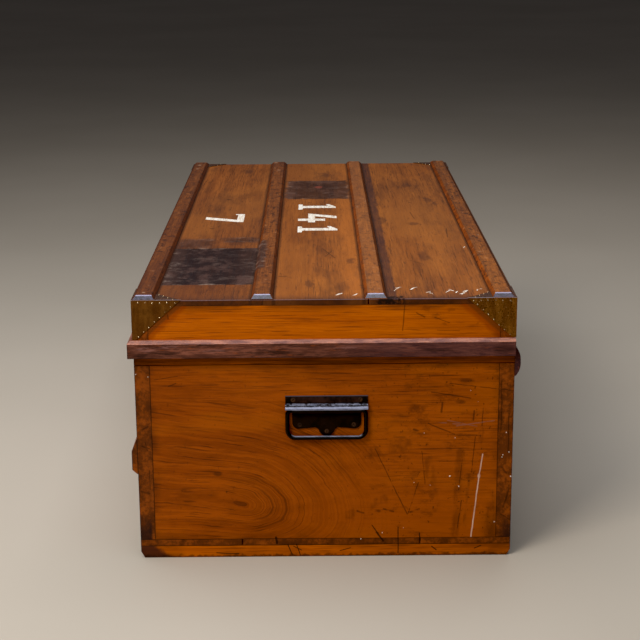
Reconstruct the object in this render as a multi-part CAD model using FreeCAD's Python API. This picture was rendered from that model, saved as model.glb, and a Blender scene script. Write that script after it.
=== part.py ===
import FreeCAD, Part
import math
import os

# A lidded travelling chest in camphor wood, with dark hardwood mouldings and iron end handles.
# X runs along the length, the front with the lock faces -Y, and the hinges are at +Y.
# The origin is on the floor, under the middle of the chest. All lengths are in millimetres.

# Case
chest_length = 1118.0
chest_width = 508.0
wall_thickness = 20.5
wall_height = 249.5
bottom_thickness = 9.5
bottom_seam_shares = (0.275, 0.755)
bottom_seam_gaps = (0.8, 0.8)
lipping_height = 21.3
lipping_groove = 0.8

# Cross battens under the bottom
skid_height = 17.0
skid_width = 46.0
skid_bevel_width = 5.0
skid_bevel_height = 9.0
skid_place_shares = (-0.5, 0.0, 0.5)

# Rails on the outside of the case
back_rail_height = 39.5
back_rail_thickness = 7.7
back_rail_shoulder = 1.5
back_rail_curve_height_share = 0.19
back_rail_curve_depth_share = 0.78
front_batten_height = 49.0
front_batten_thickness = 7.7
front_batten_base = 122.5
front_batten_top_bevel = 16.5
front_batten_top_edge = 1.0
front_batten_nose_height = 6.0

# Lid
joint_gap = 0.3
lid_wall_height = 60.2
lid_board_thickness = 7.4
lid_seam_shares = (0.341, 0.615)
lid_seam_gaps = (0.2, 1.6)
batten_place_shares = (0.0302, 0.3386, 0.6346, 0.9669)
batten_base_width = 30.6
batten_top_width = 20.4
batten_thickness = 5.8
batten_round = 1.2
batten_end_bevel = 9.0
batten_end_nose = 1.4

# Dark moulding round the lid's lower edge, which hangs over the joint
moulding_height = 23.8
moulding_thickness = 7.6
moulding_overlap = 9.7
moulding_bevel = 4.0
seal_clearance = 0.4

# Brass corner caps on the lid
cap_thickness = 0.9
cap_reach = 65.0
cap_drop = 58.0
cap_clear_of_moulding = 0.4

# End handles: a sheet plate with a rolled hood over the bar of a wire bail
handle_offset = 2.5
handle_height = 214.1
plate_thickness = 1.8
plate_width = 111.0
hood_radius = 8.5
hood_lip_angle = 3.0
flange_top = 18.3
roll_width = 93.0
side_lobe_drop = 28.0
side_lobe_radius = 9.0
web_drop = 26.2
centre_lobe_drop = 38.0
centre_lobe_radius = 11.2
lobe_fillet_radius = 6.0
bail_wire_radius = 2.9
bail_width = 111.6
bail_drop = 37.8
bail_top_bend = 5.6
bail_low_bend = 11.0
bail_clearance = 0.15
bail_rest_clearance = 0.25
bail_end_gap = 1.0
handle_screw_head = 3.0
handle_screw_shank = 1.6
handle_screw_length = 15.0
flange_screw_spread = 90.0
flange_screw_height = 12.9
low_screw_spread = 73.0
low_screw_drop = 22.4
centre_screw_drop = 31.5

# Hinges with stop lugs, let into the meeting edges at the back
hinge_place_shares = (-0.34, 0.0, 0.34)
hinge_length = 60.0
hinge_leaf_width = 21.8
hinge_leaf_thickness = 2.0
hinge_axis_offset = 2.2
knuckle_radius = 3.0
knuckle_share = 0.36
knuckle_end_gap = 0.25
knuckle_clearance = 0.3
hinge_relief = 0.4
pin_radius = 1.45
pin_clearance = 0.05
pin_head_radius = 2.3
pin_head_thickness = 0.9
lid_stop_angle = 100.0
lug_reach = 5.75
lug_thickness = 2.05
hinge_screw_head = 2.7
hinge_screw_shank = 1.5
hinge_screw_length = 13.0
hinge_screw_spread = 38.0
hinge_screw_inset = 9.5

# Lock in the front board, its bolt, and the link plate in the lid
lock_case_width = 86.0
lock_case_height = 46.0
lock_case_depth = 12.0
lock_sheet = 1.5
selvedge_length = 106.0
selvedge_width = 15.5
selvedge_thickness = 2.5
bolt_travel = 8.0
bolt_clearance = 0.3
bolt_bar_height = 6.0
prong_thickness = 3.6
prong_height = 3.8
prong_length = 7.5
riser_width = 5.5
link_spread = 44.0
link_thickness = 3.0
link_width = 8.0
link_drop = 12.7
link_eye_width = 4.8
link_eye_height = 5.0
link_foot = 2.7
link_slot_clearance = 0.8
link_plate_length = 92.0
lock_screw_head = 2.5
lock_screw_shank = 1.4
lock_screw_length = 11.0
lock_screw_spread = 95.0
link_screw_spread = 80.0
keyhole_drop = 33.0
keyhole_radius = 1.9
keyhole_slot_width = 1.9
keyhole_slot_drop = 6.5
escutcheon_width = 24.0
escutcheon_height = 34.0
escutcheon_thickness = 1.2

# Cuts run past the faces they leave by this much
overrun = 4.0

# Levels and faces that the pieces share
half_length = chest_length / 2
half_width = chest_width / 2
inner_length = half_length - wall_thickness
inner_width = half_width - wall_thickness
wall_base = skid_height + bottom_thickness
wall_top = wall_base + wall_height
rim = wall_top + lipping_height
lid_rim = rim + joint_gap
lid_board_base = lid_rim + lid_wall_height
lid_top = lid_board_base + lid_board_thickness
moulding_base = rim - moulding_overlap
moulding_top = moulding_base + moulding_height

hinge_y = half_width + hinge_axis_offset
hinge_z = rim + joint_gap / 2
bar_x = bail_wire_radius + bail_clearance
roll_inner = hood_radius - plate_thickness
bar_drop = math.sqrt((roll_inner - bail_wire_radius - bail_clearance) ** 2 - bar_x ** 2)
bar_z = handle_height - bar_drop

V = FreeCAD.Vector
X_AXIS = V(1, 0, 0)
Y_AXIS = V(0, 1, 0)
Z_AXIS = V(0, 0, 1)
HERE = V(0, 0, 0)


def block(x0, x1, y0, y1, z0, z1):
    return Part.makeBox(x1 - x0, y1 - y0, z1 - z0, V(x0, y0, z0))


def outline(points):
    return Part.Face(Part.makePolygon(points + [points[0]]))


def along_x(points, x0, x1):
    """Carries an outline of (y, z) points along X."""
    return outline([V(x0, y, z) for y, z in points]).extrude(V(x1 - x0, 0, 0))


def along_y(points, y0, y1):
    """Carries an outline of (x, z) points along Y."""
    return outline([V(x, y0, z) for x, z in points]).extrude(V(0, y1 - y0, 0))


def along_z(points, z0, z1):
    """Carries an outline of (x, y) points along Z."""
    return outline([V(x, y, z0) for x, y in points]).extrude(V(0, 0, z1 - z0))


def rod(radius, start, end):
    return Part.makeCylinder(radius, (end - start).Length, start, end - start)


def mirror_x(shape):
    return shape.mirror(HERE, X_AXIS)


def mirror_y(shape):
    return shape.mirror(HERE, Y_AXIS)


def cut_all(shape, cutters):
    for cutter in cutters:
        shape = shape.cut(cutter)
    return shape


def screw(head_radius, shank_radius, length, seat, into):
    """A countersunk wood screw whose head lies flush at the seat and points into the wood."""
    head_depth = head_radius - shank_radius
    head = Part.makeCone(head_radius, shank_radius, head_depth, seat, into)
    shank_start = seat + into * head_depth
    shank = Part.makeCylinder(shank_radius, length - head_depth, shank_start, into)
    return head.fuse(shank).removeSplitter()


def export(node, shapes):
    solids = [solid for shape in shapes for solid in shape.Solids]
    shape = solids[0] if len(solids) == 1 else Part.makeCompound(solids)
    volume = sum(solid.Volume for solid in solids)
    print(node, len(solids), "solid", round(volume), "mm3", "" if shape.isValid() else "NOT VALID")
    shape.exportStep("parts/" + node + ".step")


def planks(seam_shares, seam_gaps, z0, z1):
    """Boards laid side by side along the chest, with seams at shares of its width."""
    seams = [(chest_width * share - half_width, gap / 2) for share, gap in zip(seam_shares, seam_gaps)]
    starts = [-half_width] + [y + half_gap for y, half_gap in seams]
    ends = [y - half_gap for y, half_gap in seams] + [half_width]
    return [block(-half_length, half_length, y0, y1, z0, z1) for y0, y1 in zip(starts, ends)]


def skid(share):
    """A cross batten with bevelled lower ends, kept flush with the ends of the chest."""
    middle = share * (chest_length - skid_width)
    bevel_y = half_width - skid_bevel_width
    points = [(-half_width, skid_height), (-half_width, skid_bevel_height), (-bevel_y, 0),
              (bevel_y, 0), (half_width, skid_bevel_height), (half_width, skid_height)]
    return along_x(points, middle - skid_width / 2, middle + skid_width / 2)


def lipping_side():
    """The front strip of the lipping, with mitred ends and a fine groove at its lower edge."""
    points = [(-half_length, -half_width), (half_length, -half_width),
              (inner_length, -inner_width), (-inner_length, -inner_width)]
    groove = [(-half_width, wall_top), (-half_width, wall_top + lipping_groove),
              (-half_width + lipping_groove, wall_top)]
    return along_z(points, wall_top, rim).cut(along_x(groove, -half_length, half_length))


def lipping_end():
    """The strip of lipping on the right end, cut as the front one is."""
    points = [(half_length, -half_width), (half_length, half_width),
              (inner_length, inner_width), (inner_length, -inner_width)]
    groove = [(half_length, wall_top), (half_length, wall_top + lipping_groove),
              (half_length - lipping_groove, wall_top)]
    return along_z(points, wall_top, rim).cut(along_y(groove, -half_width, half_width))


def back_rail():
    """A rounded rail under the joint at the back: short shoulders and two long arcs."""
    base = rim - back_rail_height
    middle = base + back_rail_height / 2
    shoulder = half_width + back_rail_shoulder
    crown = half_width + back_rail_thickness
    curve_y = half_width + back_rail_thickness * back_rail_curve_depth_share
    curve_rise = back_rail_height * back_rail_curve_height_share
    low = V(-half_length, shoulder, base)
    widest = V(-half_length, crown, middle)
    high = V(-half_length, shoulder, rim)
    edges = [
        Part.LineSegment(V(-half_length, half_width, base), low).toShape(),
        Part.Arc(low, V(-half_length, curve_y, base + curve_rise), widest).toShape(),
        Part.Arc(widest, V(-half_length, curve_y, rim - curve_rise), high).toShape(),
        Part.LineSegment(high, V(-half_length, half_width, rim)).toShape(),
        Part.LineSegment(V(-half_length, half_width, rim), V(-half_length, half_width, base)).toShape(),
    ]
    return Part.Face(Part.Wire(edges)).extrude(V(chest_length, 0, 0))


def front_batten():
    """A rubbing batten along the front, with a long slope on top and a bevel below."""
    face = -half_width
    out = face - front_batten_thickness
    lip = face - front_batten_top_edge
    top = front_batten_base + front_batten_height
    points = [(face, front_batten_base), (lip, front_batten_base),
              (out, front_batten_base + front_batten_nose_height),
              (out, top - front_batten_top_bevel), (lip, top), (face, top)]
    return along_x(points, -half_length, half_length)


def lid_batten(share):
    """A batten along the lid with bevelled sides, eased upper edges, and long bevels at both ends."""
    middle = chest_width * share - half_width
    top = lid_top + batten_thickness
    points = [(middle - batten_base_width / 2, lid_top), (middle + batten_base_width / 2, lid_top),
              (middle + batten_top_width / 2, top), (middle - batten_top_width / 2, top)]
    shape = along_x(points, -half_length, half_length)
    upper = [edge for edge in shape.Edges if edge.BoundBox.ZMin > lid_top and edge.Length > chest_width]
    shape = shape.makeFillet(batten_round, upper)
    bevel_x = half_length - batten_end_bevel
    end_x = half_length + overrun
    slope = (batten_thickness - batten_end_nose) / batten_end_bevel
    nose_z = lid_top + batten_end_nose - slope * overrun
    wedge = along_y([(bevel_x, top), (end_x, nose_z), (end_x, top + overrun), (bevel_x, top + overrun)],
                    middle - batten_base_width, middle + batten_base_width)
    return shape.cut(wedge).cut(mirror_x(wedge))


def moulding_section(face, outward):
    """The moulding's outline: bevelled upper edge, and a rebate that clears the case below the joint."""
    out = face + outward * moulding_thickness
    clear = face + outward * seal_clearance
    return [(clear, moulding_base), (out, moulding_base), (out, moulding_top - moulding_bevel),
            (out - outward * moulding_bevel, moulding_top), (face, moulding_top),
            (face, lid_rim), (clear, lid_rim)]


def front_moulding():
    reach = half_length + moulding_thickness
    bar = along_x(moulding_section(-half_width, -1), -reach, reach)
    return bar.cut(mitre_waste(1)).cut(mitre_waste(-1))


def end_moulding():
    """The right end's moulding, mitred at the front and square at the back."""
    start = -half_width - moulding_thickness
    bar = along_y(moulding_section(half_length, 1), start, half_width)
    keep = mitre_waste(1)
    return bar.common(keep.fuse(block(0, half_length + moulding_thickness + overrun,
                                      -inner_width, half_width, moulding_base - overrun,
                                      moulding_top + overrun)))


def mitre_waste(side):
    """The wedge of space on the end's side of the mitre line at a front corner."""
    far = moulding_thickness + overrun
    corner = [(side * inner_length, -inner_width),
              (side * (half_length + far), -half_width - far),
              (side * (half_length + far), -inner_width)]
    return along_z(corner, moulding_base - overrun, moulding_top + overrun)


def corner_cap():
    """A three-sided brass cap on the lid's front right top corner, cut off just above the moulding."""
    x1 = half_length + cap_thickness
    y1 = -half_width - cap_thickness
    z1 = lid_top + cap_thickness
    low = moulding_top + cap_clear_of_moulding
    foot = cap_reach * (1 - (z1 - low) / cap_drop)
    end_flap = along_x([(y1, z1), (-half_width + cap_reach, z1), (-half_width + foot, low), (y1, low)],
                       half_length, x1)
    side_flap = along_y([(x1, z1), (half_length - cap_reach, z1), (half_length - foot, low), (x1, low)],
                        y1, -half_width)
    top_flap = along_z([(x1, y1), (half_length - cap_reach, y1), (x1, -half_width + cap_reach)],
                       lid_top, z1)
    return end_flap.fuse(side_flap).fuse(top_flap).removeSplitter()


def roll_section(inner_corner, outer_corner, upward, sheet_end):
    """Half of the rolled sheet, from its lip to the flat plate above or below it."""
    side = 1 if upward else -1
    lip = math.radians(hood_lip_angle)
    middle = (lip + side * math.pi / 2) / 2
    meet = math.sqrt(hood_radius ** 2 - plate_thickness ** 2)
    y0 = -plate_width / 2
    at_board = V(0, y0, side * roll_inner)
    at_plate = V(plate_thickness, y0, side * meet)
    outer_mid = V(hood_radius * math.cos(middle), y0, hood_radius * math.sin(middle))
    inner_mid = V(roll_inner * math.cos(middle), y0, roll_inner * math.sin(middle))
    tip_out = V(plate_thickness, y0, sheet_end)
    tip_in = V(0, y0, sheet_end)
    edges = [
        Part.LineSegment(inner_corner, outer_corner).toShape(),
        Part.Arc(outer_corner, outer_mid, at_plate).toShape(),
        Part.LineSegment(at_plate, tip_out).toShape(),
        Part.LineSegment(tip_out, tip_in).toShape(),
        Part.LineSegment(tip_in, at_board).toShape(),
        Part.Arc(at_board, inner_mid, inner_corner).toShape(),
    ]
    return Part.Face(Part.Wire(edges))


def lobed_sheet():
    """The lower plate: rounded corners, a straight web, and a round lobe with hollow fillets."""
    edge = roll_width / 2
    lobe_z = -(centre_lobe_drop - centre_lobe_radius)
    fillet_z = -(web_drop + lobe_fillet_radius)
    reach = centre_lobe_radius + lobe_fillet_radius
    fillet_y = math.sqrt(reach ** 2 - (fillet_z - lobe_z) ** 2)
    unit_y = fillet_y / reach
    unit_z = (fillet_z - lobe_z) / reach
    start = -hood_radius
    quarter = math.cos(math.radians(45))
    corner_y = edge - side_lobe_radius
    corner_z = -(side_lobe_drop - side_lobe_radius)
    half_fillet = (math.pi / 2 + math.atan2(-unit_z, unit_y)) / 2
    left = [
        V(0, -edge, start),
        V(0, -edge, corner_z),
        V(0, -corner_y - side_lobe_radius * quarter, corner_z - side_lobe_radius * quarter),
        V(0, -corner_y, -side_lobe_drop),
        V(0, -fillet_y, -web_drop),
        V(0, -fillet_y + lobe_fillet_radius * math.cos(half_fillet),
          fillet_z + lobe_fillet_radius * math.sin(half_fillet)),
        V(0, -centre_lobe_radius * unit_y, lobe_z + centre_lobe_radius * unit_z),
    ]
    right = [V(0, -p.y, p.z) for p in left]
    tip = V(0, 0, -centre_lobe_drop)
    edges = [
        Part.LineSegment(left[0], left[1]).toShape(),
        Part.Arc(left[1], left[2], left[3]).toShape(),
        Part.LineSegment(left[3], left[4]).toShape(),
        Part.Arc(left[4], left[5], left[6]).toShape(),
        Part.Arc(left[6], tip, right[6]).toShape(),
        Part.Arc(right[6], right[5], right[4]).toShape(),
        Part.LineSegment(right[4], right[3]).toShape(),
        Part.Arc(right[3], right[2], right[1]).toShape(),
        Part.LineSegment(right[1], right[0]).toShape(),
        Part.LineSegment(right[0], left[0]).toShape(),
    ]
    return Part.Face(Part.Wire(edges)).extrude(V(plate_thickness, 0, 0))


def handle_plate():
    """The right handle's plate, made about the centre of its roll and then set on the end."""
    lip = math.radians(hood_lip_angle)
    y0 = -plate_width / 2
    inner_corner = V(roll_inner * math.cos(lip), y0, roll_inner * math.sin(lip))
    outer_corner = V(hood_radius * math.cos(lip), y0, hood_radius * math.sin(lip))
    hood = roll_section(inner_corner, outer_corner, True, flange_top).extrude(V(0, plate_width, 0))
    low_end = -(hood_radius + plate_thickness)
    roll = roll_section(inner_corner, outer_corner, False, low_end).extrude(V(0, plate_width, 0))
    narrow = block(-overrun, hood_radius + overrun, -roll_width / 2, roll_width / 2,
                   -centre_lobe_drop - overrun, hood_radius + overrun)
    shape = hood.fuse(roll.common(narrow)).fuse(lobed_sheet()).removeSplitter()
    return shape.translated(V(half_length, handle_offset, handle_height))


def handle_screws():
    seats = [(side * flange_screw_spread / 2, flange_screw_height) for side in (-1, 1)]
    seats += [(side * low_screw_spread / 2, -low_screw_drop) for side in (-1, 1)]
    seats += [(0, -centre_screw_drop)]
    return [screw(handle_screw_head, handle_screw_shank, handle_screw_length,
                  V(half_length + plate_thickness, handle_offset + y, handle_height + z), -X_AXIS)
            for y, z in seats]


def bail():
    """A wire bent to a loop, its two ends meeting inside the roll, resting on the plate's lobe."""
    side = bail_width / 2 - bail_wire_radius
    gap = bail_end_gap / 2
    quarter = 1 - math.cos(math.radians(45))

    def place(y, z):
        return V(half_length + bar_x, handle_offset + y, bar_z + z)

    def half(sign):
        top_in = place(sign * (side - bail_top_bend), 0)
        top_mid = place(sign * (side - bail_top_bend * quarter), -bail_top_bend * quarter)
        top_out = place(sign * side, -bail_top_bend)
        low_out = place(sign * side, -(bail_drop - bail_low_bend))
        low_mid = place(sign * (side - bail_low_bend * quarter), -(bail_drop - bail_low_bend * quarter))
        low_in = place(sign * (side - bail_low_bend), -bail_drop)
        return [Part.LineSegment(place(sign * gap, 0), top_in).toShape(),
                Part.Arc(top_in, top_mid, top_out).toShape(),
                Part.LineSegment(top_out, low_out).toShape(),
                Part.Arc(low_out, low_mid, low_in).toShape(),
                Part.LineSegment(low_in, place(0, -bail_drop)).toShape()]

    right = half(1)
    left = half(-1)
    path = Part.Wire(right + left[::-1])
    section = Part.Wire(Part.makeCircle(bail_wire_radius, place(gap, 0), Y_AXIS))
    loop = path.makePipeShell([section], True, False)
    lean = plate_thickness + bail_wire_radius + bail_rest_clearance - bar_x
    loop.rotate(place(0, 0), -Y_AXIS, math.degrees(math.asin(lean / bail_drop)))
    return loop


def hinge(share):
    """One hinge at rest: its lower leaf, upper leaf, pin, screws and the room it needs in the wood."""
    middle = share * chest_length
    x0 = middle - hinge_length / 2
    x1 = middle + hinge_length / 2
    inner = hinge_y - hinge_leaf_width
    centre_half = hinge_length * knuckle_share / 2
    gap = knuckle_end_gap / 2

    def barrel(radius, a, b):
        return rod(radius, V(a, hinge_y, hinge_z), V(b, hinge_y, hinge_z))

    bore = barrel(pin_radius + pin_clearance, x0 - overrun, x1 + overrun)
    clear = knuckle_radius + knuckle_clearance
    left_knuckle = barrel(knuckle_radius, x0, middle - centre_half - gap)
    right_knuckle = barrel(knuckle_radius, middle + centre_half + gap, x1)
    centre_knuckle = barrel(knuckle_radius, middle - centre_half + gap, middle + centre_half - gap)
    centre_room = barrel(clear, middle - centre_half - gap, middle + centre_half + gap)
    left_room = barrel(clear, x0 - overrun, middle - centre_half + gap)
    right_room = barrel(clear, middle + centre_half - gap, x1 + overrun)

    low_plate = block(x0, x1, inner, hinge_y, rim - hinge_leaf_thickness, rim)
    high_plate = block(x0, x1, inner, hinge_y, lid_rim, lid_rim + hinge_leaf_thickness)
    stop = math.radians(90 - lid_stop_angle)
    along = (math.cos(stop), math.sin(stop))
    below = (math.sin(stop), -math.cos(stop))
    lug = [(0, 0), (lug_reach, 0), (lug_reach, lug_thickness), (0, lug_thickness)]
    low_points = [(hinge_y + r * along[0] + s * below[0], hinge_z + r * along[1] + s * below[1])
                  for r, s in lug]
    low_lug = along_x(low_points, x0, x1)
    high_lug = block(middle - centre_half + gap, middle + centre_half - gap,
                     hinge_y - lug_thickness, hinge_y, hinge_z, hinge_z + lug_reach)

    lower = low_plate.fuse(low_lug).cut(centre_room).fuse([left_knuckle, right_knuckle])
    lower = lower.cut(bore).removeSplitter()
    upper = high_plate.cut(left_room).cut(right_room).fuse([centre_knuckle, high_lug])
    upper = upper.cut(bore).removeSplitter()

    pin = barrel(pin_radius, x0 - pin_head_thickness, x1 + pin_head_thickness)
    for a, b in ((x0 - pin_head_thickness, x0), (x1, x1 + pin_head_thickness)):
        pin = pin.fuse(barrel(pin_head_radius, a, b))
    pin = pin.removeSplitter()

    screw_y = inner + hinge_screw_inset
    places = (middle - hinge_screw_spread / 2, middle + hinge_screw_spread / 2)
    low_screws = [screw(hinge_screw_head, hinge_screw_shank, hinge_screw_length, V(x, screw_y, rim), -Z_AXIS)
                  for x in places]
    high_screws = [screw(hinge_screw_head, hinge_screw_shank, hinge_screw_length,
                         V(x, screw_y, lid_rim), Z_AXIS) for x in places]
    room_end = pin_head_thickness + hinge_relief
    room = barrel(knuckle_radius + hinge_relief, x0 - room_end, x1 + room_end)
    return {"lower": lower.cut(Part.makeCompound(low_screws)),
            "upper": upper.cut(Part.makeCompound(high_screws)),
            "pin": pin, "low_screws": low_screws, "high_screws": high_screws, "room": room,
            "low_seat": low_plate, "high_seat": high_plate}


def lock():
    """The lock's case with its top plate, its cover, bolt and screws, and the link plate above."""
    case_top = rim - selvedge_thickness
    case_base = case_top - lock_case_height
    y_in = -inner_width
    y_out = y_in - lock_case_depth
    half_case = lock_case_width / 2
    case = block(-half_case, half_case, y_out, y_in - lock_sheet, case_base, case_top)
    room = block(-half_case + lock_sheet, half_case - lock_sheet, y_out + lock_sheet, y_in,
                 case_base + lock_sheet, case_top)
    plate = block(-selvedge_length / 2, selvedge_length / 2, y_in - selvedge_width, y_in, case_top, rim)

    eye_base = lid_rim - link_drop + link_foot
    eye_middle = eye_base + link_eye_height / 2
    bar_top = lid_rim - link_drop - bolt_clearance
    bar_base = bar_top - bolt_bar_height
    inner_depth = lock_case_depth - 2 * lock_sheet
    middle_y = y_in - lock_case_depth / 2
    bar_half = inner_depth / 2 - bolt_clearance
    ledge = block(-half_case + lock_sheet, half_case - lock_sheet, y_out + lock_sheet, y_in - lock_sheet,
                  bar_base - bolt_clearance - lock_sheet, bar_base - bolt_clearance)

    link_places = (-link_spread / 2, link_spread / 2)
    slots = [block(x - link_thickness / 2 - link_slot_clearance, x + link_thickness / 2 + link_slot_clearance,
                   middle_y - link_width / 2 - link_slot_clearance,
                   middle_y + link_width / 2 + link_slot_clearance,
                   case_top - overrun, rim + overrun) for x in link_places]
    key_z = rim - keyhole_drop
    key_room = rod(keyhole_radius, V(0, -half_width - overrun, key_z), V(0, y_out + lock_sheet, key_z))
    screws = [screw(lock_screw_head, lock_screw_shank, lock_screw_length,
                    V(side * lock_screw_spread / 2, middle_y, rim), -Z_AXIS) for side in (-1, 1)]
    body = case.cut(room).fuse(plate).fuse(ledge).removeSplitter()
    body = cut_all(body, slots + [key_room] + screws)

    cover = block(-half_case, half_case, y_in - lock_sheet, y_in, case_base, case_top)

    back = link_thickness / 2 + bolt_travel / 2 - prong_height / 2
    bar_start = link_places[0] - back - prong_length - riser_width
    bolt = block(bar_start, link_places[1] - back, middle_y - bar_half, middle_y + bar_half,
                 bar_base, bar_top)
    for x in link_places:
        tip = x - back
        root = tip - prong_length
        prong = block(root, tip, middle_y - prong_thickness / 2, middle_y + prong_thickness / 2,
                      eye_middle - prong_height / 2, eye_middle + prong_height / 2)
        riser = block(root - riser_width, root, middle_y - prong_thickness / 2,
                      middle_y + prong_thickness / 2, bar_top, eye_middle + prong_height / 2)
        bolt = bolt.fuse(prong).fuse(riser)

    half_plate = link_plate_length / 2
    link = block(-half_plate, half_plate, y_in - selvedge_width, y_in, lid_rim,
                 lid_rim + selvedge_thickness)
    seat = link
    for x in link_places:
        tongue = block(x - link_thickness / 2, x + link_thickness / 2, middle_y - link_width / 2,
                       middle_y + link_width / 2, lid_rim - link_drop, lid_rim)
        eye = block(x - overrun, x + overrun, middle_y - link_eye_width / 2,
                    middle_y + link_eye_width / 2, eye_base, eye_base + link_eye_height)
        link = link.fuse(tongue).cut(eye)
    link_screws = [screw(lock_screw_head, lock_screw_shank, lock_screw_length,
                         V(side * link_screw_spread / 2, middle_y, lid_rim), Z_AXIS) for side in (-1, 1)]
    link = cut_all(link.removeSplitter(), link_screws)

    case_seat = block(-half_case, half_case, y_out, y_in, case_base, case_top)
    return {"case": body, "cover": cover, "bolt": bolt.removeSplitter(), "screws": screws,
            "link": link, "link_screws": link_screws, "seats": [case_seat, plate, key_room],
            "link_seat": seat}


def escutcheon():
    """An oval brass plate with a keyhole, on the front over the lock."""
    key_z = rim - keyhole_drop
    centre = V(0, -half_width - escutcheon_thickness, key_z)
    top_point = centre + V(0, 0, escutcheon_height / 2)
    side_point = centre + V(escutcheon_width / 2, 0, 0)
    oval = Part.Ellipse(top_point, side_point, centre)
    plate = Part.Face(Part.Wire(oval.toShape())).extrude(V(0, escutcheon_thickness, 0))
    hole = rod(keyhole_radius, centre - Y_AXIS * overrun, centre + Y_AXIS * overrun)
    slot = block(-keyhole_slot_width / 2, keyhole_slot_width / 2, centre.y - overrun, centre.y + overrun,
                 key_z - keyhole_slot_drop, key_z)
    return plate.cut(hole).cut(slot)


os.makedirs("parts", exist_ok=True)
hinges = [hinge(share) for share in hinge_place_shares]
hinge_rooms = [one["room"] for one in hinges]
low_hinge_screws = [s for one in hinges for s in one["low_screws"]]
high_hinge_screws = [s for one in hinges for s in one["high_screws"]]
lock_parts = lock()

# The case
front_board = block(-half_length, half_length, -half_width, -inner_width, wall_base, wall_top)
export("front_board", [cut_all(front_board, lock_parts["seats"])])
back_board = block(-half_length, half_length, inner_width, half_width, wall_base, wall_top)
export("back_board", [back_board])

right_screws = handle_screws()
end_board = block(inner_length, half_length, -inner_width, inner_width, wall_base, wall_top)
end_board = cut_all(end_board, right_screws)
export("end_board_right", [end_board])
export("end_board_left", [mirror_x(end_board)])

for number, board in enumerate(planks(bottom_seam_shares, bottom_seam_gaps, skid_height, wall_base), 1):
    export("bottom_board_%d" % number, [board])
for name, share in zip(("skid_left", "skid_middle", "skid_right"), skid_place_shares):
    export(name, [skid(share)])

lipping_back = mirror_y(lipping_side())
lipping_back = cut_all(lipping_back, hinge_rooms + [one["low_seat"] for one in hinges] + low_hinge_screws)
export("lipping_front", [cut_all(lipping_side(), lock_parts["seats"] + lock_parts["screws"])])
export("lipping_back", [lipping_back])
export("lipping_right", [lipping_end()])
export("lipping_left", [mirror_x(lipping_end())])
export("back_rail", [cut_all(back_rail(), hinge_rooms + [one["low_seat"] for one in hinges])])
export("front_batten", [front_batten()])

# The end handles
plate = cut_all(handle_plate(), right_screws)
loop = bail()
export("handle_plate_right", [plate])
export("handle_plate_left", [mirror_x(plate)])
export("handle_screws_right", right_screws)
export("handle_screws_left", [mirror_x(one) for one in right_screws])
export("bail_right", [loop])
export("bail_left", [mirror_x(loop)])

# The lock
export("lock_case", [lock_parts["case"]])
export("lock_cover", [lock_parts["cover"]])
export("lock_bolt", [lock_parts["bolt"]])
export("lock_screws", lock_parts["screws"])
export("escutcheon", [escutcheon()])

# The lid
lid_front = block(-half_length, half_length, -half_width, -inner_width, lid_rim, lid_board_base)
lid_front = cut_all(lid_front, [lock_parts["link_seat"]] + lock_parts["link_screws"])
export("lid_front_board", [lid_front])
lid_back = block(-half_length, half_length, inner_width, half_width, lid_rim, lid_board_base)
lid_back = cut_all(lid_back, hinge_rooms + [one["high_seat"] for one in hinges] + high_hinge_screws)
export("lid_back_board", [lid_back])
lid_end = block(inner_length, half_length, -inner_width, inner_width, lid_rim, lid_board_base)
export("lid_end_right", [lid_end])
export("lid_end_left", [mirror_x(lid_end)])
for number, board in enumerate(planks(lid_seam_shares, lid_seam_gaps, lid_board_base, lid_top), 1):
    export("lid_board_%d" % number, [board])

caps = {"front_right": corner_cap()}
caps["front_left"] = mirror_x(caps["front_right"])
caps["back_right"] = mirror_y(caps["front_right"])
caps["back_left"] = mirror_y(caps["front_left"])
for place, cap in caps.items():
    export("corner_cap_" + place, [cap])
for number, share in enumerate(batten_place_shares, 1):
    export("lid_batten_%d" % number, [cut_all(lid_batten(share), list(caps.values()))])

export("moulding_front", [front_moulding()])
export("moulding_right", [end_moulding()])
export("moulding_left", [mirror_x(end_moulding())])
export("link_plate", [lock_parts["link"]])
export("link_screws", lock_parts["link_screws"])

# The hinges
for number, one in enumerate(hinges, 1):
    export("hinge_lower_leaf_%d" % number, [one["lower"]])
    export("hinge_upper_leaf_%d" % number, [one["upper"]])
    export("hinge_pin_%d" % number, [one["pin"]])
export("hinge_screws_lower", low_hinge_screws)
export("hinge_screws_upper", high_hinge_screws)
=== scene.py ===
# %% [markdown]
# # A camphor wood travelling chest
# The chest is already built as solid pieces: boards, battens, mouldings, hinges, a lock and two
# wire handles. This lesson gives those pieces their surfaces, and adds the small things that no
# carpenter's drawing shows: brass pins, screw slots, painted numerals and a century of wear.
# Every length is in metres. X runs along the chest, the front faces -Y, and Z is up.

# %% The solid pieces
import bpy
import math
import numpy as np
from functools import reduce
from mathutils import Matrix, Vector
from operator import mul, or_


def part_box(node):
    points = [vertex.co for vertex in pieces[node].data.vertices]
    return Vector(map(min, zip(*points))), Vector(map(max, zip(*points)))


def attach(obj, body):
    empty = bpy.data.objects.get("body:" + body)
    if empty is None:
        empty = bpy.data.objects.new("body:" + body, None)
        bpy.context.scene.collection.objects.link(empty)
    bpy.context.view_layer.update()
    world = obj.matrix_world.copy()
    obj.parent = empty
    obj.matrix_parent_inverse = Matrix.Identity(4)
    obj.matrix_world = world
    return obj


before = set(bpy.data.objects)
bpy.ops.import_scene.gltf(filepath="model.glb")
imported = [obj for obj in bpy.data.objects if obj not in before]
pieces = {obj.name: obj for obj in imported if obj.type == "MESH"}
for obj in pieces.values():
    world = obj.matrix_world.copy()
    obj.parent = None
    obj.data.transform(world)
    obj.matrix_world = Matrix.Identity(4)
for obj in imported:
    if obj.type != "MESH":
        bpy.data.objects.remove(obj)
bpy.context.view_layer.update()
MM = 0.001

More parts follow.
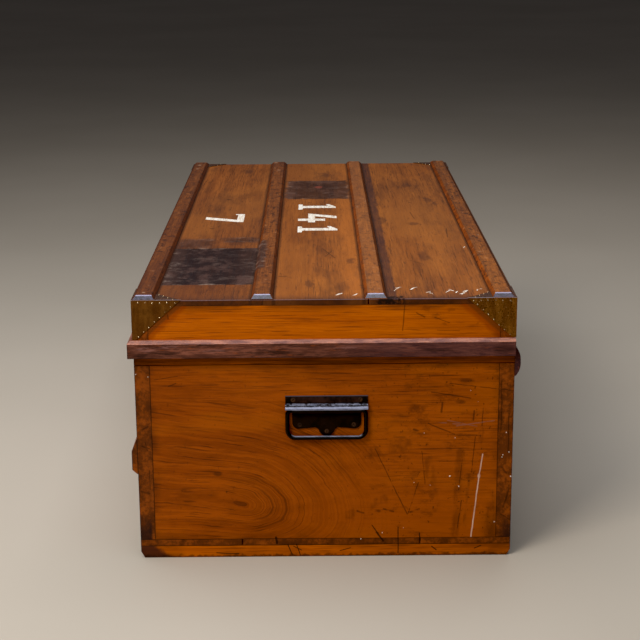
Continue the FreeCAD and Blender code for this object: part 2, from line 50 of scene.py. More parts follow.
# %% [markdown]
# ## The camera
# The chest is seen from its right end and a little above, from about two metres away. A long lens
# keeps the sides nearly parallel. The camera could be aimed with a constraint, but three turns
# say the same thing, and they stay true when another view moves the camera. A camera looks down
# at first, so a quarter turn is added to lift it level and another to face it along the chest.

# %% Place and aim the camera
CAMERA_PLACE = Vector((2.50968, -0.01181, 0.86018))
CAMERA_TURN = -0.00321
CAMERA_TILT = 0.26194
CAMERA_ROLL = -0.00712
PICTURE_PIXELS = 640
FOCAL_PIXELS = 1526.9
SENSOR_WIDTH = 36.0

camera = bpy.data.objects.new("camera", bpy.data.cameras.new("camera"))
camera.data.sensor_width = SENSOR_WIDTH
camera.data.lens = SENSOR_WIDTH * FOCAL_PIXELS / PICTURE_PIXELS
turned = Matrix.Rotation(CAMERA_TURN + math.pi / 2, 4, "Z")
tilted = Matrix.Rotation(math.pi / 2 - CAMERA_TILT, 4, "X")
rolled = Matrix.Rotation(CAMERA_ROLL, 4, "Z")
camera.matrix_world = Matrix.Translation(CAMERA_PLACE) @ turned @ tilted @ rolled
bpy.context.scene.collection.objects.link(camera)
bpy.context.scene.camera = camera
print("lens", round(camera.data.lens, 2), "mm")

# %% [markdown]
# ## Colours and nodes
# Artists name colours as screens do, from 0 to 255, but light adds up on another scale. One
# function turns the first into the second. Materials here are graphs of many small nodes. Each
# number that changes over a surface is a value that can be added, multiplied and faded, and every
# such step lays down its node. So a material reads like a sum instead of a list of links.

# %% A colour from screen values
BLACK_LEVEL = 0.006
view = bpy.context.scene.view_settings
view.view_transform = "Standard"
view.use_curve_mapping = True
view.curve_mapping.black_level = (BLACK_LEVEL, BLACK_LEVEL, BLACK_LEVEL)


def linear(colour):
    """Screen values 0 to 255 as linear light: a straight foot, and a power of 2.4 above it."""
    shares = np.array(colour) / 255
    light = np.where(shares <= 0.04045, shares / 12.92, ((shares + 0.055) / 1.055) ** 2.4)
    return (*map(float, light), 1.0)


print("mid grey", linear((128, 128, 128))[0])


# %% Values that nodes work out
class Value:
    """A number, place or colour that a node gives. a | b is the larger, a & b the smaller."""

    def __init__(self, graph, socket):
        self.graph = graph
        self.socket = socket

    def __rsub__(self, other):
        return self.graph.math("SUBTRACT", other, self)

    def __abs__(self):
        return self.graph.math("ABSOLUTE", self)

    def fade(self, start, end):
        """0 at start, 1 at end, and a smooth S between them."""
        feeds = {"Value": self, "From Min": start, "From Max": end}
        return self.graph.put("ShaderNodeMapRange", feeds, interpolation_type="SMOOTHSTEP")


def calculation(operation):
    return lambda value, other: value.graph.math(operation, value, other)


SIGNS = {"add": "ADD", "sub": "SUBTRACT", "mul": "MULTIPLY", "truediv": "DIVIDE", "pow": "POWER",
         "or": "MAXIMUM", "and": "MINIMUM", "lt": "LESS_THAN", "gt": "GREATER_THAN"}
for sign, operation in SIGNS.items():
    setattr(Value, f"__{sign}__", calculation(operation))
print(len(SIGNS), "signs, each a node")


# %% A material's nodes
class Graph:
    """One material's nodes, the place and facing that they read, and the colour so far."""

    def __init__(self, name):
        self.material = bpy.data.materials.new(name)
        self.material.use_nodes = True
        self.tree = self.material.node_tree
        self.tree.nodes.clear()
        space = self.tree.nodes.new("ShaderNodeTexCoord").outputs
        self.place = Value(self, space["Object"])
        self.spot = self.place
        self.x, self.y, self.z = self.parts(self.place)
        self.facing = dict(zip("XYZ", self.parts(Value(self, space["Normal"]))))
        self.figure = {}
        self.colour = None

    def node(self, kind, feeds, **options):
        """Adds a node, feeds its inputs with values or constants, and returns its outputs."""
        made = self.tree.nodes.new(kind)
        for option, setting in options.items():
            setattr(made, option, setting)
        for socket, value in feeds.items():
            if isinstance(value, Value):
                self.tree.links.new(value.socket, made.inputs[socket])
            else:
                made.inputs[socket].default_value = value
        return made.outputs

    def put(self, kind, feeds, output=0, **options):
        return Value(self, self.node(kind, feeds, **options)[output])

    def parts(self, vector):
        return [Value(self, part) for part in self.node("ShaderNodeSeparateXYZ", {0: vector})]

    def join(self, x, y, z):
        return self.put("ShaderNodeCombineXYZ", {0: x, 1: y, 2: z})

    def along(self, axes):
        """The place's parts in the order of the axes, such as XZY."""
        return [getattr(self, axis) for axis in axes.lower()]

    def math(self, operation, *values):
        return self.put("ShaderNodeMath", dict(enumerate(values)), operation=operation)

    def vector(self, operation, *values):
        number = 1 if operation in ("DOT_PRODUCT", "LENGTH") else 0
        return self.put("ShaderNodeVectorMath", dict(enumerate(values)), number, operation=operation)

    def noise(self, stretch, detail=3, roughness=0.55, at=None):
        """Cloudy noise: so many clouds a metre in each direction, or one number for all three."""
        stretch = stretch if isinstance(stretch, tuple) else (stretch, stretch, stretch)
        spread = self.vector("MULTIPLY", at or self.spot, stretch)
        feeds = {"Vector": spread, "Scale": 1.0, "Detail": detail, "Roughness": roughness}
        return self.put("ShaderNodeTexNoise", feeds)

    def drift(self, reach, stretch, detail, roughness=0.55, at=None):
        """Noise that swings both ways, by the reach at most."""
        return self.noise(stretch, detail, roughness, at) * (2 * reach) - reach

    def mix(self, share, first, second):
        """From one colour to another, both given as values or as screen values."""
        ends = [end if isinstance(end, Value) else linear(end) for end in (first, second)]
        return self.put("ShaderNodeMix", {0: share, 6: ends[0], 7: ends[1]}, 2, data_type="RGBA")

    def blend(self, share, first, second):
        """The same for plain numbers."""
        return self.put("ShaderNodeMix", {0: share, 2: first, 3: second}, data_type="FLOAT")

    def cover(self, share, colour):
        """Lays a colour over the one so far."""
        self.colour = self.mix(share, self.colour, colour)

    def clouds(self, stretch, detail, roughness, start, end, strength, colour):
        """Lays a colour where noise is past the start, and fully where it reaches the end."""
        self.cover(self.noise(stretch, detail, roughness).fade(start, end) * strength, colour)

    def surface(self, roughness, height, relief, coat=0.0, metallic=0.0, **constants):
        """The finished shader. The height gives bumps as deep as the relief, in metres."""
        bump = self.put("ShaderNodeBump", {"Strength": 1.0, "Distance": relief, "Height": height})
        feeds = {"Base Color": self.colour, "Roughness": roughness, "Normal": bump,
                 "Coat Weight": coat, "Metallic": metallic}
        feeds.update({name.replace("_", " "): setting for name, setting in constants.items()})
        shader = self.put("ShaderNodeBsdfPrincipled", feeds)
        self.node("ShaderNodeOutputMaterial", {0: shader})
        return self.material


print("values add up, and each step is a node")

# %% [markdown]
# ## Floor and lights
# The chest stands on a plain pale floor. A big soft light hangs overhead: it draws the bright
# lines on everything that turns from upright to level, such as the battens' ends and the
# moulding's bevel. The main light comes from the left, at about 45 degrees, so the moulding
# shades the wall under it and each batten shades its right side. A broad weak one behind the
# camera shows in the handle's curves, and another lifts the far end of the lid. Small lamps
# would give harder, busier marks.

# %% The floor
FLOOR_SIZE = 60.0
FLOOR_DROP = 0.2 * MM


def floor_material():
    """A pale floor with faint clouds, a little uneven."""
    g = Graph("floor_pale")
    clouds = g.noise(0.8)
    g.colour = g.mix(clouds.fade(0.3, 0.7), (170, 158, 142), (177, 165, 149))
    return g.surface(0.7, clouds, 0.1 * MM)


def flat_sheet(name, size, height):
    """A square of four points at one height."""
    signs = np.array([(-1, -1), (1, -1), (1, 1), (-1, 1)])
    corners = np.column_stack([signs * size / 2, np.full(4, height)])
    mesh = bpy.data.meshes.new(name)
    mesh.from_pydata(corners.tolist(), [], [(0, 1, 2, 3)])
    sheet = bpy.data.objects.new(name, mesh)
    bpy.context.scene.collection.objects.link(sheet)
    return sheet


floor = flat_sheet("floor", FLOOR_SIZE, -FLOOR_DROP)
floor.data.materials.append(floor_material())
print("a floor", FLOOR_SIZE, "m wide")

# %% The lights
WORLD_GREY = 0.06
WORLD_COOLER = 1.08


def soft_light(name, place, aim, width, watts, colour):
    """A square area light whose face points from its place to its aim."""
    light = bpy.data.lights.new(name, "AREA")
    light.size = width
    light.energy = watts
    light.color = colour
    holder = bpy.data.objects.new(name, light)
    holder.location = place
    holder.rotation_euler = (Vector(aim) - Vector(place)).to_track_quat("-Z", "Y").to_euler()
    bpy.context.scene.collection.objects.link(holder)


soft_light("overhead", (0.5, -0.45, 2.3), (0.5, -0.1, 0.2), 2.4, 60, (0.84, 0.91, 1))
soft_light("main", (2.1, -1.35, 2.15), (0.4, 0, 0.2), 1.1, 56, (1, 0.96, 0.9))
soft_light("behind_camera", (3.9, 0.2, 1.7), (0.5, 0, 0.25), 1.8, 16, (0.9, 0.94, 1))
soft_light("far_right", (-2, 0.9, 2.9), (-0.3, 0, 0.2), 1.4, 9, (1, 0.95, 0.9))
world = bpy.data.worlds.new("studio")
world.use_nodes = True
room = world.node_tree.nodes["Background"].inputs[0]
room.default_value = (WORLD_GREY, WORLD_GREY, WORLD_GREY * WORLD_COOLER, 1.0)
bpy.context.scene.world = world
print("four soft lights and a grey room")

# %% [markdown]
# ## Wood from a solid log
# A board is a slice of a trunk, so its figure is best worked out in the solid: the distance from
# a leaning centre line of the tree, cut into yearly rings. On a board's face those rings open
# into long arches, and on its end they show as short arcs, all from one formula. A flat picture
# of wood would break at every edge. Fine fibres and dark pores are noise that is drawn out
# along the grain, and each board reads its own part of the trunk.

# %% Rings, fibres and pores
FIBRES = (8, 330, 330)
PORES = (18, 620, 620)
CLOUDS = (2.6, 9, 9)
MOTTLE = (14, 55, 55)
WANDER = (1.7, 5, 5)
TREMBLE = (8, 26, 26)
SQUEEZE = 0.7


def wandering(g, shift, reach):
    """A slow drift of the tree's centre line."""
    return g.drift(2 * reach, WANDER, 2, at=g.vector("ADD", g.spot, shift))


def grain(g, axes, centre, ring, seed, stop=None, wander=12 * MM, lean=0.03):
    """The radius is the distance from the tree's centre line, which leans and wanders.

    The axes are those along, across and through the board, such as XZY. Where the line
    has a stop, it ends there inside the board, and the rings close round its end in a swirl,
    squeezed along the grain. Rings are uneven in width and come and go.
    """
    along, across, through = g.along(axes)
    g.spot = g.vector("ADD", g.join(along, across, through), seed)
    side = along * lean + across - centre[0] + wandering(g, (0, 0, 0), wander)
    depth = through - centre[1] + wandering(g, (3, 5, 7), wander)
    squares = side ** 2 + depth ** 2
    if stop is not None:
        squares = squares + (((along - stop) | 0) * SQUEEZE) ** 2
    radius = g.math("SQRT", squares) + g.drift(6 * MM, TREMBLE, 3, 0.6)
    line = g.join(along, radius, through) if stop is not None else g.spot
    curved = g.join(along, radius, seed[0])
    uneven = g.noise((1.4, 60, 1), 4, 0.7, curved)
    year = g.math("FRACT", (uneven * (5 * ring) + radius) / ring)
    clear = g.noise((6, 18, 18), 4, 0.65).fade(0.36, 0.66)
    return {
        "late": (year.fade(0.4, 0.82) - year.fade(0.86, 1)) * clear,
        "band": g.noise((1.2, 70, 1), 3, 0.6, curved).fade(0.38, 0.64),
        "fibre": g.noise(FIBRES, 4, 0.7, line).fade(0.46, 0.58),
        "pore": g.noise(PORES, 2, at=line).fade(0.58, 0.66),
        "cloud": g.noise(CLOUDS, 4, 0.65).fade(0.36, 0.64),
        "mottle": g.noise(MOTTLE, 5, 0.7).fade(0.44, 0.66),
        "end": abs(g.facing[axes[0]]).fade(0.75, 0.92),
    }


def two_grains(g, share, first, second):
    """One figure that turns into another, as where a branch left the trunk."""
    mixed = dict(second)
    for part in ("late", "band", "fibre", "pore"):
        mixed[part] = g.blend(share, first[part], second[part])
    return mixed


print("rings, fibres and pores, from one formula")

# %% Wood colours
def palette(*shades):
    """Four shades of one wood, from light to deep."""
    return dict(zip(("light", "mid", "dark", "deep"), shades))


CAMPHOR = palette((156, 74, 9), (130, 58, 6), (94, 40, 6), (44, 19, 8))
BRIGHT = palette((188, 95, 6), (169, 80, 4), (140, 63, 5), (92, 40, 8))
WORN = palette((150, 84, 34), (122, 64, 24), (82, 42, 19), (38, 23, 17))
WAXED = palette((160, 92, 36), (136, 74, 28), (94, 50, 23), (44, 27, 19))
SIDES = palette((158, 74, 8), (136, 60, 5), (92, 40, 6), (50, 23, 8))
HARDWOOD = palette((138, 84, 66), (108, 64, 50), (62, 33, 25), (28, 16, 14))
RAW = palette((178, 124, 80), (160, 104, 64), (124, 76, 46), (78, 48, 32))
END_LIGHT = (134, 65, 16)
END_DARK = (94, 45, 13)
# Dark brown for dirt and painted shade along edges and at feet.
DIRT_AND_SHADE = (36, 18, 9)
SOOT = (20, 11, 8)
BAND_STRENGTH = 0.7
LAYERS = (("cloud", 0.5, "mid"), ("late", 0.46, "dark"), ("fibre", 0.36, "dark"),
          ("mottle", 0.3, "dark"), ("pore", 0.55, "deep"))


def wood_colour(g, shades):
    """Broad bands, slow clouds, late wood, fibres, mottling and pores, one over another."""
    colour = g.mix(g.figure["band"] * BAND_STRENGTH, shades["light"], shades["mid"])
    for part, strength, shade in LAYERS:
        colour = g.mix(g.figure[part] * strength, colour, shades[shade])
    return colour


def end_grain(g):
    """The cut ends drink the varnish, so they are darker, speckled and streaked."""
    speckle = g.noise((240, 170, 170), 4, 0.7)
    broad = g.noise((26, 30, 44), 4, 0.65)
    mixed = g.mix((speckle * 0.5 + broad * 0.5).fade(0.41, 0.58), END_LIGHT, END_DARK)
    g.cover(g.figure["end"], g.mix(g.figure["late"] * 0.22, mixed, END_DARK))


print("camphor: plain, bright, worn, waxed and raw, and a dark hardwood")

# %% [markdown]
# ## Edges, dirt and painted shade
# Nothing ages evenly. Dirt gathers where boards meet, and edges wear bare. The wide dark band along
# every edge is both dirt and painted shade. For a board that is a box, one short rule finds its
# edges: of the three distances to the nearest faces, the smallest is the face one stands on, so the
# middle one is the way to the nearest edge. A light trace of the mesh would do the same, but
# slowly, and only in one renderer.

# %% The way to a board's nearest edge
DIRT_AND_SHADE_REACH = 13 * MM
WALL_SKIN = 0.3 * MM


def edge_distance(g, name):
    """The middle one of three distances to the nearest pair of faces of the board's box."""
    ranges = zip(g.along("XYZ"), *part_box(name))
    a, b, c = ((value - low) & (high - value) for value, low, high in ranges)
    return (a & b) | ((a | b) & c)


def dirt_and_shade_edges(g, name):
    """A broken dark line along every edge, in a wider and fainter band of dirt and painted shade."""
    way = edge_distance(g, name)
    patchy = g.noise((14, 40, 40)).fade(0.36, 0.62)
    # The wide band: dirt and painted shade.
    g.cover(way.fade(DIRT_AND_SHADE_REACH, 0) * patchy * 0.5, DIRT_AND_SHADE)
    g.cover(way.fade(1 * MM, 0.3 * MM) * 0.7, SOOT)


def inside_chest(g):
    """1 within the chest's and the lid's inner walls, and 0 outside them."""
    wall_low, wall_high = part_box("end_board_right")
    lid_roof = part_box("lid_end_right")[1]
    within = (abs(g.x) < wall_low.x + WALL_SKIN) * (abs(g.y) < wall_high.y + WALL_SKIN)
    return within * (g.z > wall_low.z - WALL_SKIN) * (g.z < lid_roof.z + WALL_SKIN)


print("edges found by the middle one of three distances")

# %% [markdown]
# ## Varnish
# Old varnish is thin: pores and fibres still dent it, and broad low waves show the plane's work.
# The clear coat is a second layer of the same shader. It is set where hands and light polish
# the wood, on the battens and mouldings, and kept low on the flat boards.

# %% The varnished board
def varnished(g, gloss, coat):
    """Waves, pores, fibres and dents make the height. Dull clouds make the shine uneven."""
    pore = g.figure["pore"]
    waves = g.noise((4, 14, 14), 2)
    dents = g.noise(60, 2)
    height = waves * 3.0 + pore * -0.5 + g.figure["fibre"] * 0.12 + dents * 0.5
    shine = g.figure["cloud"] * 0.1 + gloss + pore * 0.15
    return g.surface(shine, height, 0.12 * MM, coat, Coat_Roughness=0.22, Coat_IOR=1.45,
                     Specular_IOR_Level=0.12)


def dress(name, material):
    """Gives a solid piece its only material."""
    pieces[name].data.materials.clear()
    pieces[name].data.materials.append(material)


def wooden(name, axes, shades, centre, ring, number, marks=None, gloss=0.4, coat=0.08, figured=None):
    """A board's whole finish: figure, end grain, dirt and painted shade at the edges, its own marks, and
    bare wood inside the chest.
    """
    g = Graph("wood_" + name)
    seed = (number * 1.7, number * 2.3, number * 3.1)
    g.figure = figured(g, seed) if figured else grain(g, axes, centre, ring, seed)
    g.colour = wood_colour(g, shades)
    end_grain(g)
    dirt_and_shade_edges(g, name)
    if marks:
        marks(g)
    g.cover(inside_chest(g), wood_colour(g, RAW))
    dress(name, varnished(g, gloss, coat(g) if callable(coat) else coat))


print("varnish, and a call that dresses a board")

# %% [markdown]
# ## Marks of use
# Three simple shapes tell most of a chest's life. A stroke is a scratch: the distance to a line
# between two points. A spot is a knock: the distance to one point. A patch is a stain: a box
# whose sides are made ragged by noise. A row of numbers gives each: two points and a width for a
# stroke, a point, a radius and a stretch for a spot, and two corners for a patch. They are
# millimetres from the chest's middle and floor in the plane of the board, and every piece carries
# that plane with it, so the marks stay put when the lid moves.

# %% Strokes, spots and patches
def flat(g, axes, ragged, seed=0):
    """The place in a board's plane, with a little noise added to make straight things uneven."""
    first, second = g.along(axes)
    first = first + g.drift(ragged, 70, 4, 0.6, g.vector("ADD", g.place, (seed, 0, 0)))
    second = second + g.drift(ragged, 70, 4, 0.6, g.vector("ADD", g.place, (0, seed + 9, 0)))
    return g.join(first, second, 0)


def stroke(g, spot, x1, y1, x2, y2, width):
    """1 on the line between two points, fading over its half width."""
    start = np.array((x1, y1, 0)) * MM
    run = np.array((x2, y2, 0)) * MM - start
    from_start = g.vector("SUBTRACT", spot, tuple(start))
    share = (g.vector("DOT_PRODUCT", from_start, tuple(run / run.dot(run))) & 1.0) | 0.0
    nearest = g.vector("MULTIPLY", g.join(share, share, share), tuple(run))
    off = g.vector("LENGTH", g.vector("SUBTRACT", from_start, nearest))
    return off.fade(width * MM, width * 0.35 * MM)


def spot_mark(g, spot, x, y, radius, stretch=1):
    """1 at a point, 0 at the radius round it; the stretch makes it longer along the first axis."""
    away = g.vector("SUBTRACT", spot, (x * MM, y * MM, 0))
    away = g.vector("MULTIPLY", away, (1 / stretch, 1, 1))
    return g.vector("LENGTH", away).fade(radius * MM, radius * 0.4 * MM)


def patch(g, spot, low, high, soft):
    """1 inside the box between two corners, fading out over its soft rim."""
    sides = []
    for value, a, b in zip(g.parts(spot), low, high):
        sides.append(value.fade((a - soft) * MM, (a + soft) * MM))
        sides.append(value.fade((b + soft) * MM, (b - soft) * MM))
    return reduce(mul, sides)


def strokes(g, spot, rows):
    """The strongest of many strokes."""
    return reduce(or_, [stroke(g, spot, *line) for line in rows])


def spots(g, spot, rows):
    """The strongest of many spots."""
    return reduce(or_, [spot_mark(g, spot, *knock) for knock in rows])


print("strokes, spots and patches")

# %% [markdown]
# ## The right end
# This board shows a swirl: the centre of a branch ran in from the front and stopped inside the
# wood, so the grain is level at the top and bends round low down on the left. The right half is
# quieter. Two figures are mixed for that. Dark bruises, fine scratches and one long pale scratch
# crowd the back half, where the chest was dragged.

# %% Marks on the right end, y before z
DARK_SCRATCHES = (
    (68, 156, 96, 95, 1), (96, 95, 112, 61, 1.2), (113, 62, 127, 107, 0.9), (143, 236, 196, 227, 1.1),
    (168, 248, 252, 237, 0.9), (158, 221, 157, 208, 2), (201, 209, 200, 196, 1.6), (213, 213, 212, 188, 1),
    (139, 192, 175, 176, 1.2), (186, 140, 182, 96, 1), (44, 66, 52, 63, 2), (80, 69, 93, 65, 1.8),
    (116, 64, 128, 68, 2.2), (131, 152, 136, 105, 0.8), (186, 80, 181, 40, 1.3), (203, 172, 199, 121, 1),
    (120, 183, 126, 181, 2), (-228, 256, -196, 261, 0.7), (-209, 247, -199, 251, 1))
PALE_SCRATCHES = ((150, 193, 186, 190, 1), (178, 188, 228, 195, 1.1), (165, 196, 205, 187, 0.8))
BRUISES = (
    (124, 212, 8, 1.9), (190, 252, 4, 3.4), (-146, 122, 5, 1.6), (-193, 98, 3.6, 1.5),
    (-134.6, 95.6, 2.6, 0.6), (72, 66, 3, 1.8), (182, 222, 4, 2.4))
SMEARS = (
    (184, 150, 178, 32, 8), (196, 120, 190, 40, 3), (214, 212, 210, 165, 5), (228, 90, 224, 30, 9),
    (140, 140, 150, 70, 9), (60, 150, 110, 160, 12), (30, 60, 80, 84, 8))
LONG_SCRATCH = ((213.6, 147, 209.2, 116, 1.2), (209.2, 116, 199.6, 24.5, 1.25))
LONG_SCRATCH_SPOTS = ((209.2, 116, 4.6, 0.55), (199.6, 21.6, 1.6))
LOW_CUTS = (
    (99.5, 42, 100, 4, 1), (64, 45, 72, 33, 1), (70, 35, 79, 22, 1.8), (129, 33, 130, 22, 1.3),
    (-68, 28, -67, 20, 2.4), (-52, 17, -46, 3, 1.1), (-40, 18, -35, 2, 1), (-44, 15, -33, 9, 0.9),
    (146, 13, 152, 8, 1.2), (20, 8, 34, 12, 0.9), (-150, 6, -120, 5, 0.9), (205, 10, 214, 14, 1))
print(len(DARK_SCRATCHES) + len(PALE_SCRATCHES) + 1, "scratches and", len(LOW_CUTS), "low cuts")

# %% The swirl
SWIRL_STOP = -0.112
SWIRL_CENTRE = (0.071, 0.545)
LEVEL_CENTRE = (0.12, 0.2)
SWIRL_SOFTNESS = 0.62


def swirl_figure(g, seed):
    """The swirl low on the left, and level grain at the top and on the right."""
    swirl = grain(g, "YZX", SWIRL_CENTRE, 4.2 * MM, seed, SWIRL_STOP, lean=0.1)
    level = grain(g, "YZX", LEVEL_CENTRE, 3.6 * MM, seed, wander=26 * MM, lean=0.12)
    drift = g.drift(0.08, (4, 6, 6), 2)
    right = (g.y + drift).fade(0, 0.1)
    top = (g.z + drift).fade(0.2, 0.26)
    figure = two_grains(g, right | top, swirl, level)
    figure["late"] = figure["late"] * SWIRL_SOFTNESS
    return figure


print("a swirl that stops at y", SWIRL_STOP)


# %% The right end's finish
def low_cuts(g):
    """Knocks that run from the end board over the bottom boards on to the skid."""
    g.cover(strokes(g, flat(g, "YZ", 0.8 * MM), LOW_CUTS) * 0.85, SOOT)


def end_marks(g):
    """Painted light low on the right, golden clouds and a dark top, then smears, soot and knocks, and
    scratches over them all.
    """
    place = flat(g, "YZ", 1 * MM)
    y, z = g.y, g.z
    broken = g.noise(90, 2).fade(0.34, 0.5)
    back_half = y.fade(-0.02, 0.16)
    # Painted light: lighter low on the right, making up for light bounced up from the floor.
    g.cover(z.fade(0.2, 0.05) * y.fade(-0.12, 0.06) * 0.5, CAMPHOR["light"])
    g.clouds((5, 15, 15), 4, 0.6, 0.48, 0.66, 0.42, (166, 84, 7))
    g.cover(z.fade(0.266, 0.274) * 0.26, (46, 20, 8))
    drawn = g.noise((40, 60, 24), 4, 0.65, g.place).fade(0.36, 0.66)
    g.cover(strokes(g, flat(g, "YZ", 5 * MM, 3), SMEARS) * drawn * 0.45, (62, 28, 9))
    soot = g.noise((34, 60, 60), 5, 0.7).fade(0.53, 0.66)
    g.cover(soot * (back_half * 0.26 + 0.1), (54, 25, 9))
    corner = y.fade(0.205, 0.233) * z.fade(0.09, 0.03)
    g.cover(corner * 0.6, (60, 30, 10))
    g.cover(spots(g, place, BRUISES) * g.blend(broken, 0.2, 0.6), (58, 26, 9))
    g.cover(strokes(g, place, DARK_SCRATCHES) * g.blend(broken, 0.15, 0.62), (44, 20, 9))
    low_cuts(g)
    nicks = g.noise((260, 170, 260), 2).fade(0.66, 0.72)
    g.cover(nicks * (back_half * 0.35 + 0.25), (44, 21, 9))
    g.cover(strokes(g, place, PALE_SCRATCHES) * broken * 0.34, (120, 98, 92))
    raw = strokes(g, place, LONG_SCRATCH) | spots(g, place, LONG_SCRATCH_SPOTS)
    worn = g.noise((300, 60, 300))
    g.cover(raw * 0.92, g.mix(worn, (150, 92, 70), (226, 196, 172)))


wooden("end_board_right", "YZX", CAMPHOR, None, None, 33, end_marks, figured=swirl_figure)
print("the right end dressed")

# %% The lid's right end
LID_END_SCRATCHES = (
    (107, 362, 104, 322, 1.2), (-207, 346, -206, 340, 1.6), (146, 340, 166, 332, 0.8),
    (150, 322, 180, 321, 0.7), (122, 346, 133, 340, 1.2))
LID_END_BRUISES = (
    (134, 352, 7, 1.4), (150, 342, 6, 2), (170, 350, 6, 1.6), (190, 338, 4, 1.8), (205, 330, 4, 1.4),
    (160, 331, 4, 2.2), (128, 340, 5, 1))
CAP_SHADOWS = ((-184, 364, -247, 306, 11), (184, 364, 247, 306, 11))
CAP_EDGE_SHADOWS = ((-188, 364, -252, 307, 6.5), (188, 364, 252, 307, 6.5))


def lid_end_marks(g):
    """Ghosts of polish beside the caps, painted shadows along their edges, scuffs at the right, and a few
    scratches.
    """
    place = flat(g, "YZ", 5 * MM)
    sharp = flat(g, "YZ", 1 * MM)
    g.cover(strokes(g, place, CAP_SHADOWS) * 0.55, (122, 44, 4))
    # Painted shadows along the caps' edges.
    g.cover(strokes(g, sharp, CAP_EDGE_SHADOWS) * 0.7, (88, 46, 14))
    freckles = g.noise((60, 90, 90), 4, 0.7).fade(0.47, 0.58)
    g.cover(spots(g, place, LID_END_BRUISES) * freckles * 0.4, (96, 42, 8))
    g.cover(g.y.fade(0.09, 0.17) * 0.12, (118, 52, 4))
    g.cover(strokes(g, sharp, LID_END_SCRATCHES) * 0.6, (66, 30, 8))


wooden("lid_end_right", "YZX", BRIGHT, (0.12, 0.5), 4 * MM, 31, lid_end_marks)
print("the bright end of the lid")

# %% [markdown]
# ## The other boards of the case
# Long boards have their grain along X, the short ones along Y. Each takes another centre line,
# so no two show the same arches. Their cut ends make the dark strips at the chest's corners,
# which are blackest at the foot, where a chest stands in the wet and is kicked.

# %% Long boards
STRIP_MARKS = (
    (-247, 162, -238, 159, 1.8), (-243, 168, -240, 156, 1), (-250, 97, -240, 94, 2.2),
    (-246, 186, -239, 190, 1.6), (-238, 128, -239, 100, 1), (237, 250, 238, 180, 1.1),
    (248, 205, 248, 150, 1.2), (240, 128, 246, 120, 2), (250, 96, 243, 70, 1.6), (240, 60, 252, 52, 1.4),
    (236, 240, 254, 237, 1))
FRONT_AND_BACK = ("front_board", "back_board", "lid_front_board", "lid_back_board")
BOTTOM_BOARDS = ("bottom_board_1", "bottom_board_2", "bottom_board_3")
LONG_STRIPS = ("lipping_front", "lipping_back", "front_batten")


def strip_marks(g):
    """On the cut ends: scratches, and a black foot whose upper rim leans."""
    x, y, z = g.x, g.y, g.z
    cuts = strokes(g, flat(g, "YZ", 1.5 * MM), STRIP_MARKS)
    g.cover(cuts * g.figure["end"] * 0.5, SOOT)
    uneven = z + g.drift(0.025, (60, 60, 40), 4, 0.65, g.place)
    front = uneven.fade(0.066, 0.034) * y.fade(-0.236, -0.24)
    back = uneven.fade(0.06, 0.028) * y.fade(0.236, 0.246)
    corner = abs(x).fade(0.5, 0.552)
    g.cover((front | back) * (corner * 0.65 + 0.2), (32, 20, 18))


def middle_of(name):
    return sum(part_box(name), Vector()) / 2


for number, name in enumerate(FRONT_AND_BACK, 1):
    middle = middle_of(name)
    centre = (middle.z - 30 * MM, middle.y * 1.3)
    wooden(name, "XZY", CAMPHOR, centre, 5 * MM, number, None if "lid" in name else strip_marks)
for number, name in enumerate(BOTTOM_BOARDS, 11):
    wooden(name, "XYZ", CAMPHOR, (middle_of(name).y + 20 * MM, -60 * MM), 5 * MM, number, low_cuts)
for number, name in enumerate(LONG_STRIPS, 21):
    middle = middle_of(name)
    wooden(name, "XZY", CAMPHOR, (middle.z + 90 * MM, middle.y), 4 * MM, number)
print("long boards dressed")


# %% Short boards
def lipping_marks(g):
    """Dark streaks from handling, and a darker lower half."""
    g.clouds((6, 160, 160), 4, 0.65, 0.42, 0.62, 0.5, (52, 22, 8))
    g.cover(g.z.fade(0.284, 0.277) * 0.2, (46, 20, 8))


def skid_marks(g):
    """Dark reddish ends with a leaning rim, and a lower edge that is darker towards the floor, and knocked.
    """
    y, z = g.y, g.z
    drift = g.drift(0.008, 120, 3, at=g.place)
    ends = (abs(y) + z * -1.2 + drift).fade(0.207, 0.219)
    g.cover(ends * g.blend(y.fade(0, 0.01), 0.9, 0.3), (56, 27, 19))
    # Darker towards the floor.
    g.cover((z + drift).fade(5 * MM, 1 * MM) * 0.65, DIRT_AND_SHADE)
    low_cuts(g)


wooden("lid_end_left", "YZX", BRIGHT, (0.12, -0.5), 4 * MM, 32)
wooden("end_board_left", "YZX", CAMPHOR, (0.05, -0.62), 5 * MM, 34)
for number, name in enumerate(("lipping_right", "lipping_left"), 35):
    wooden(name, "YZX", CAMPHOR, (0.4, 0.5), 4 * MM, number, lipping_marks)
for number, name in enumerate(("skid_right", "skid_middle", "skid_left"), 37):
    wooden(name, "YXZ", BRIGHT, (0.5, -0.05), 4 * MM, number, skid_marks)
print("short boards dressed")

# %% [markdown]
# ## The lid's top
# The top is browner than the sides, because it was walked on, sat on and stacked on. Two dark
# rectangles show where something damp lay for years, and a dark stripe runs beside the third
# batten. Dirt and painted shade line every batten's foot. The battens' sides kept their first
# orange colour.

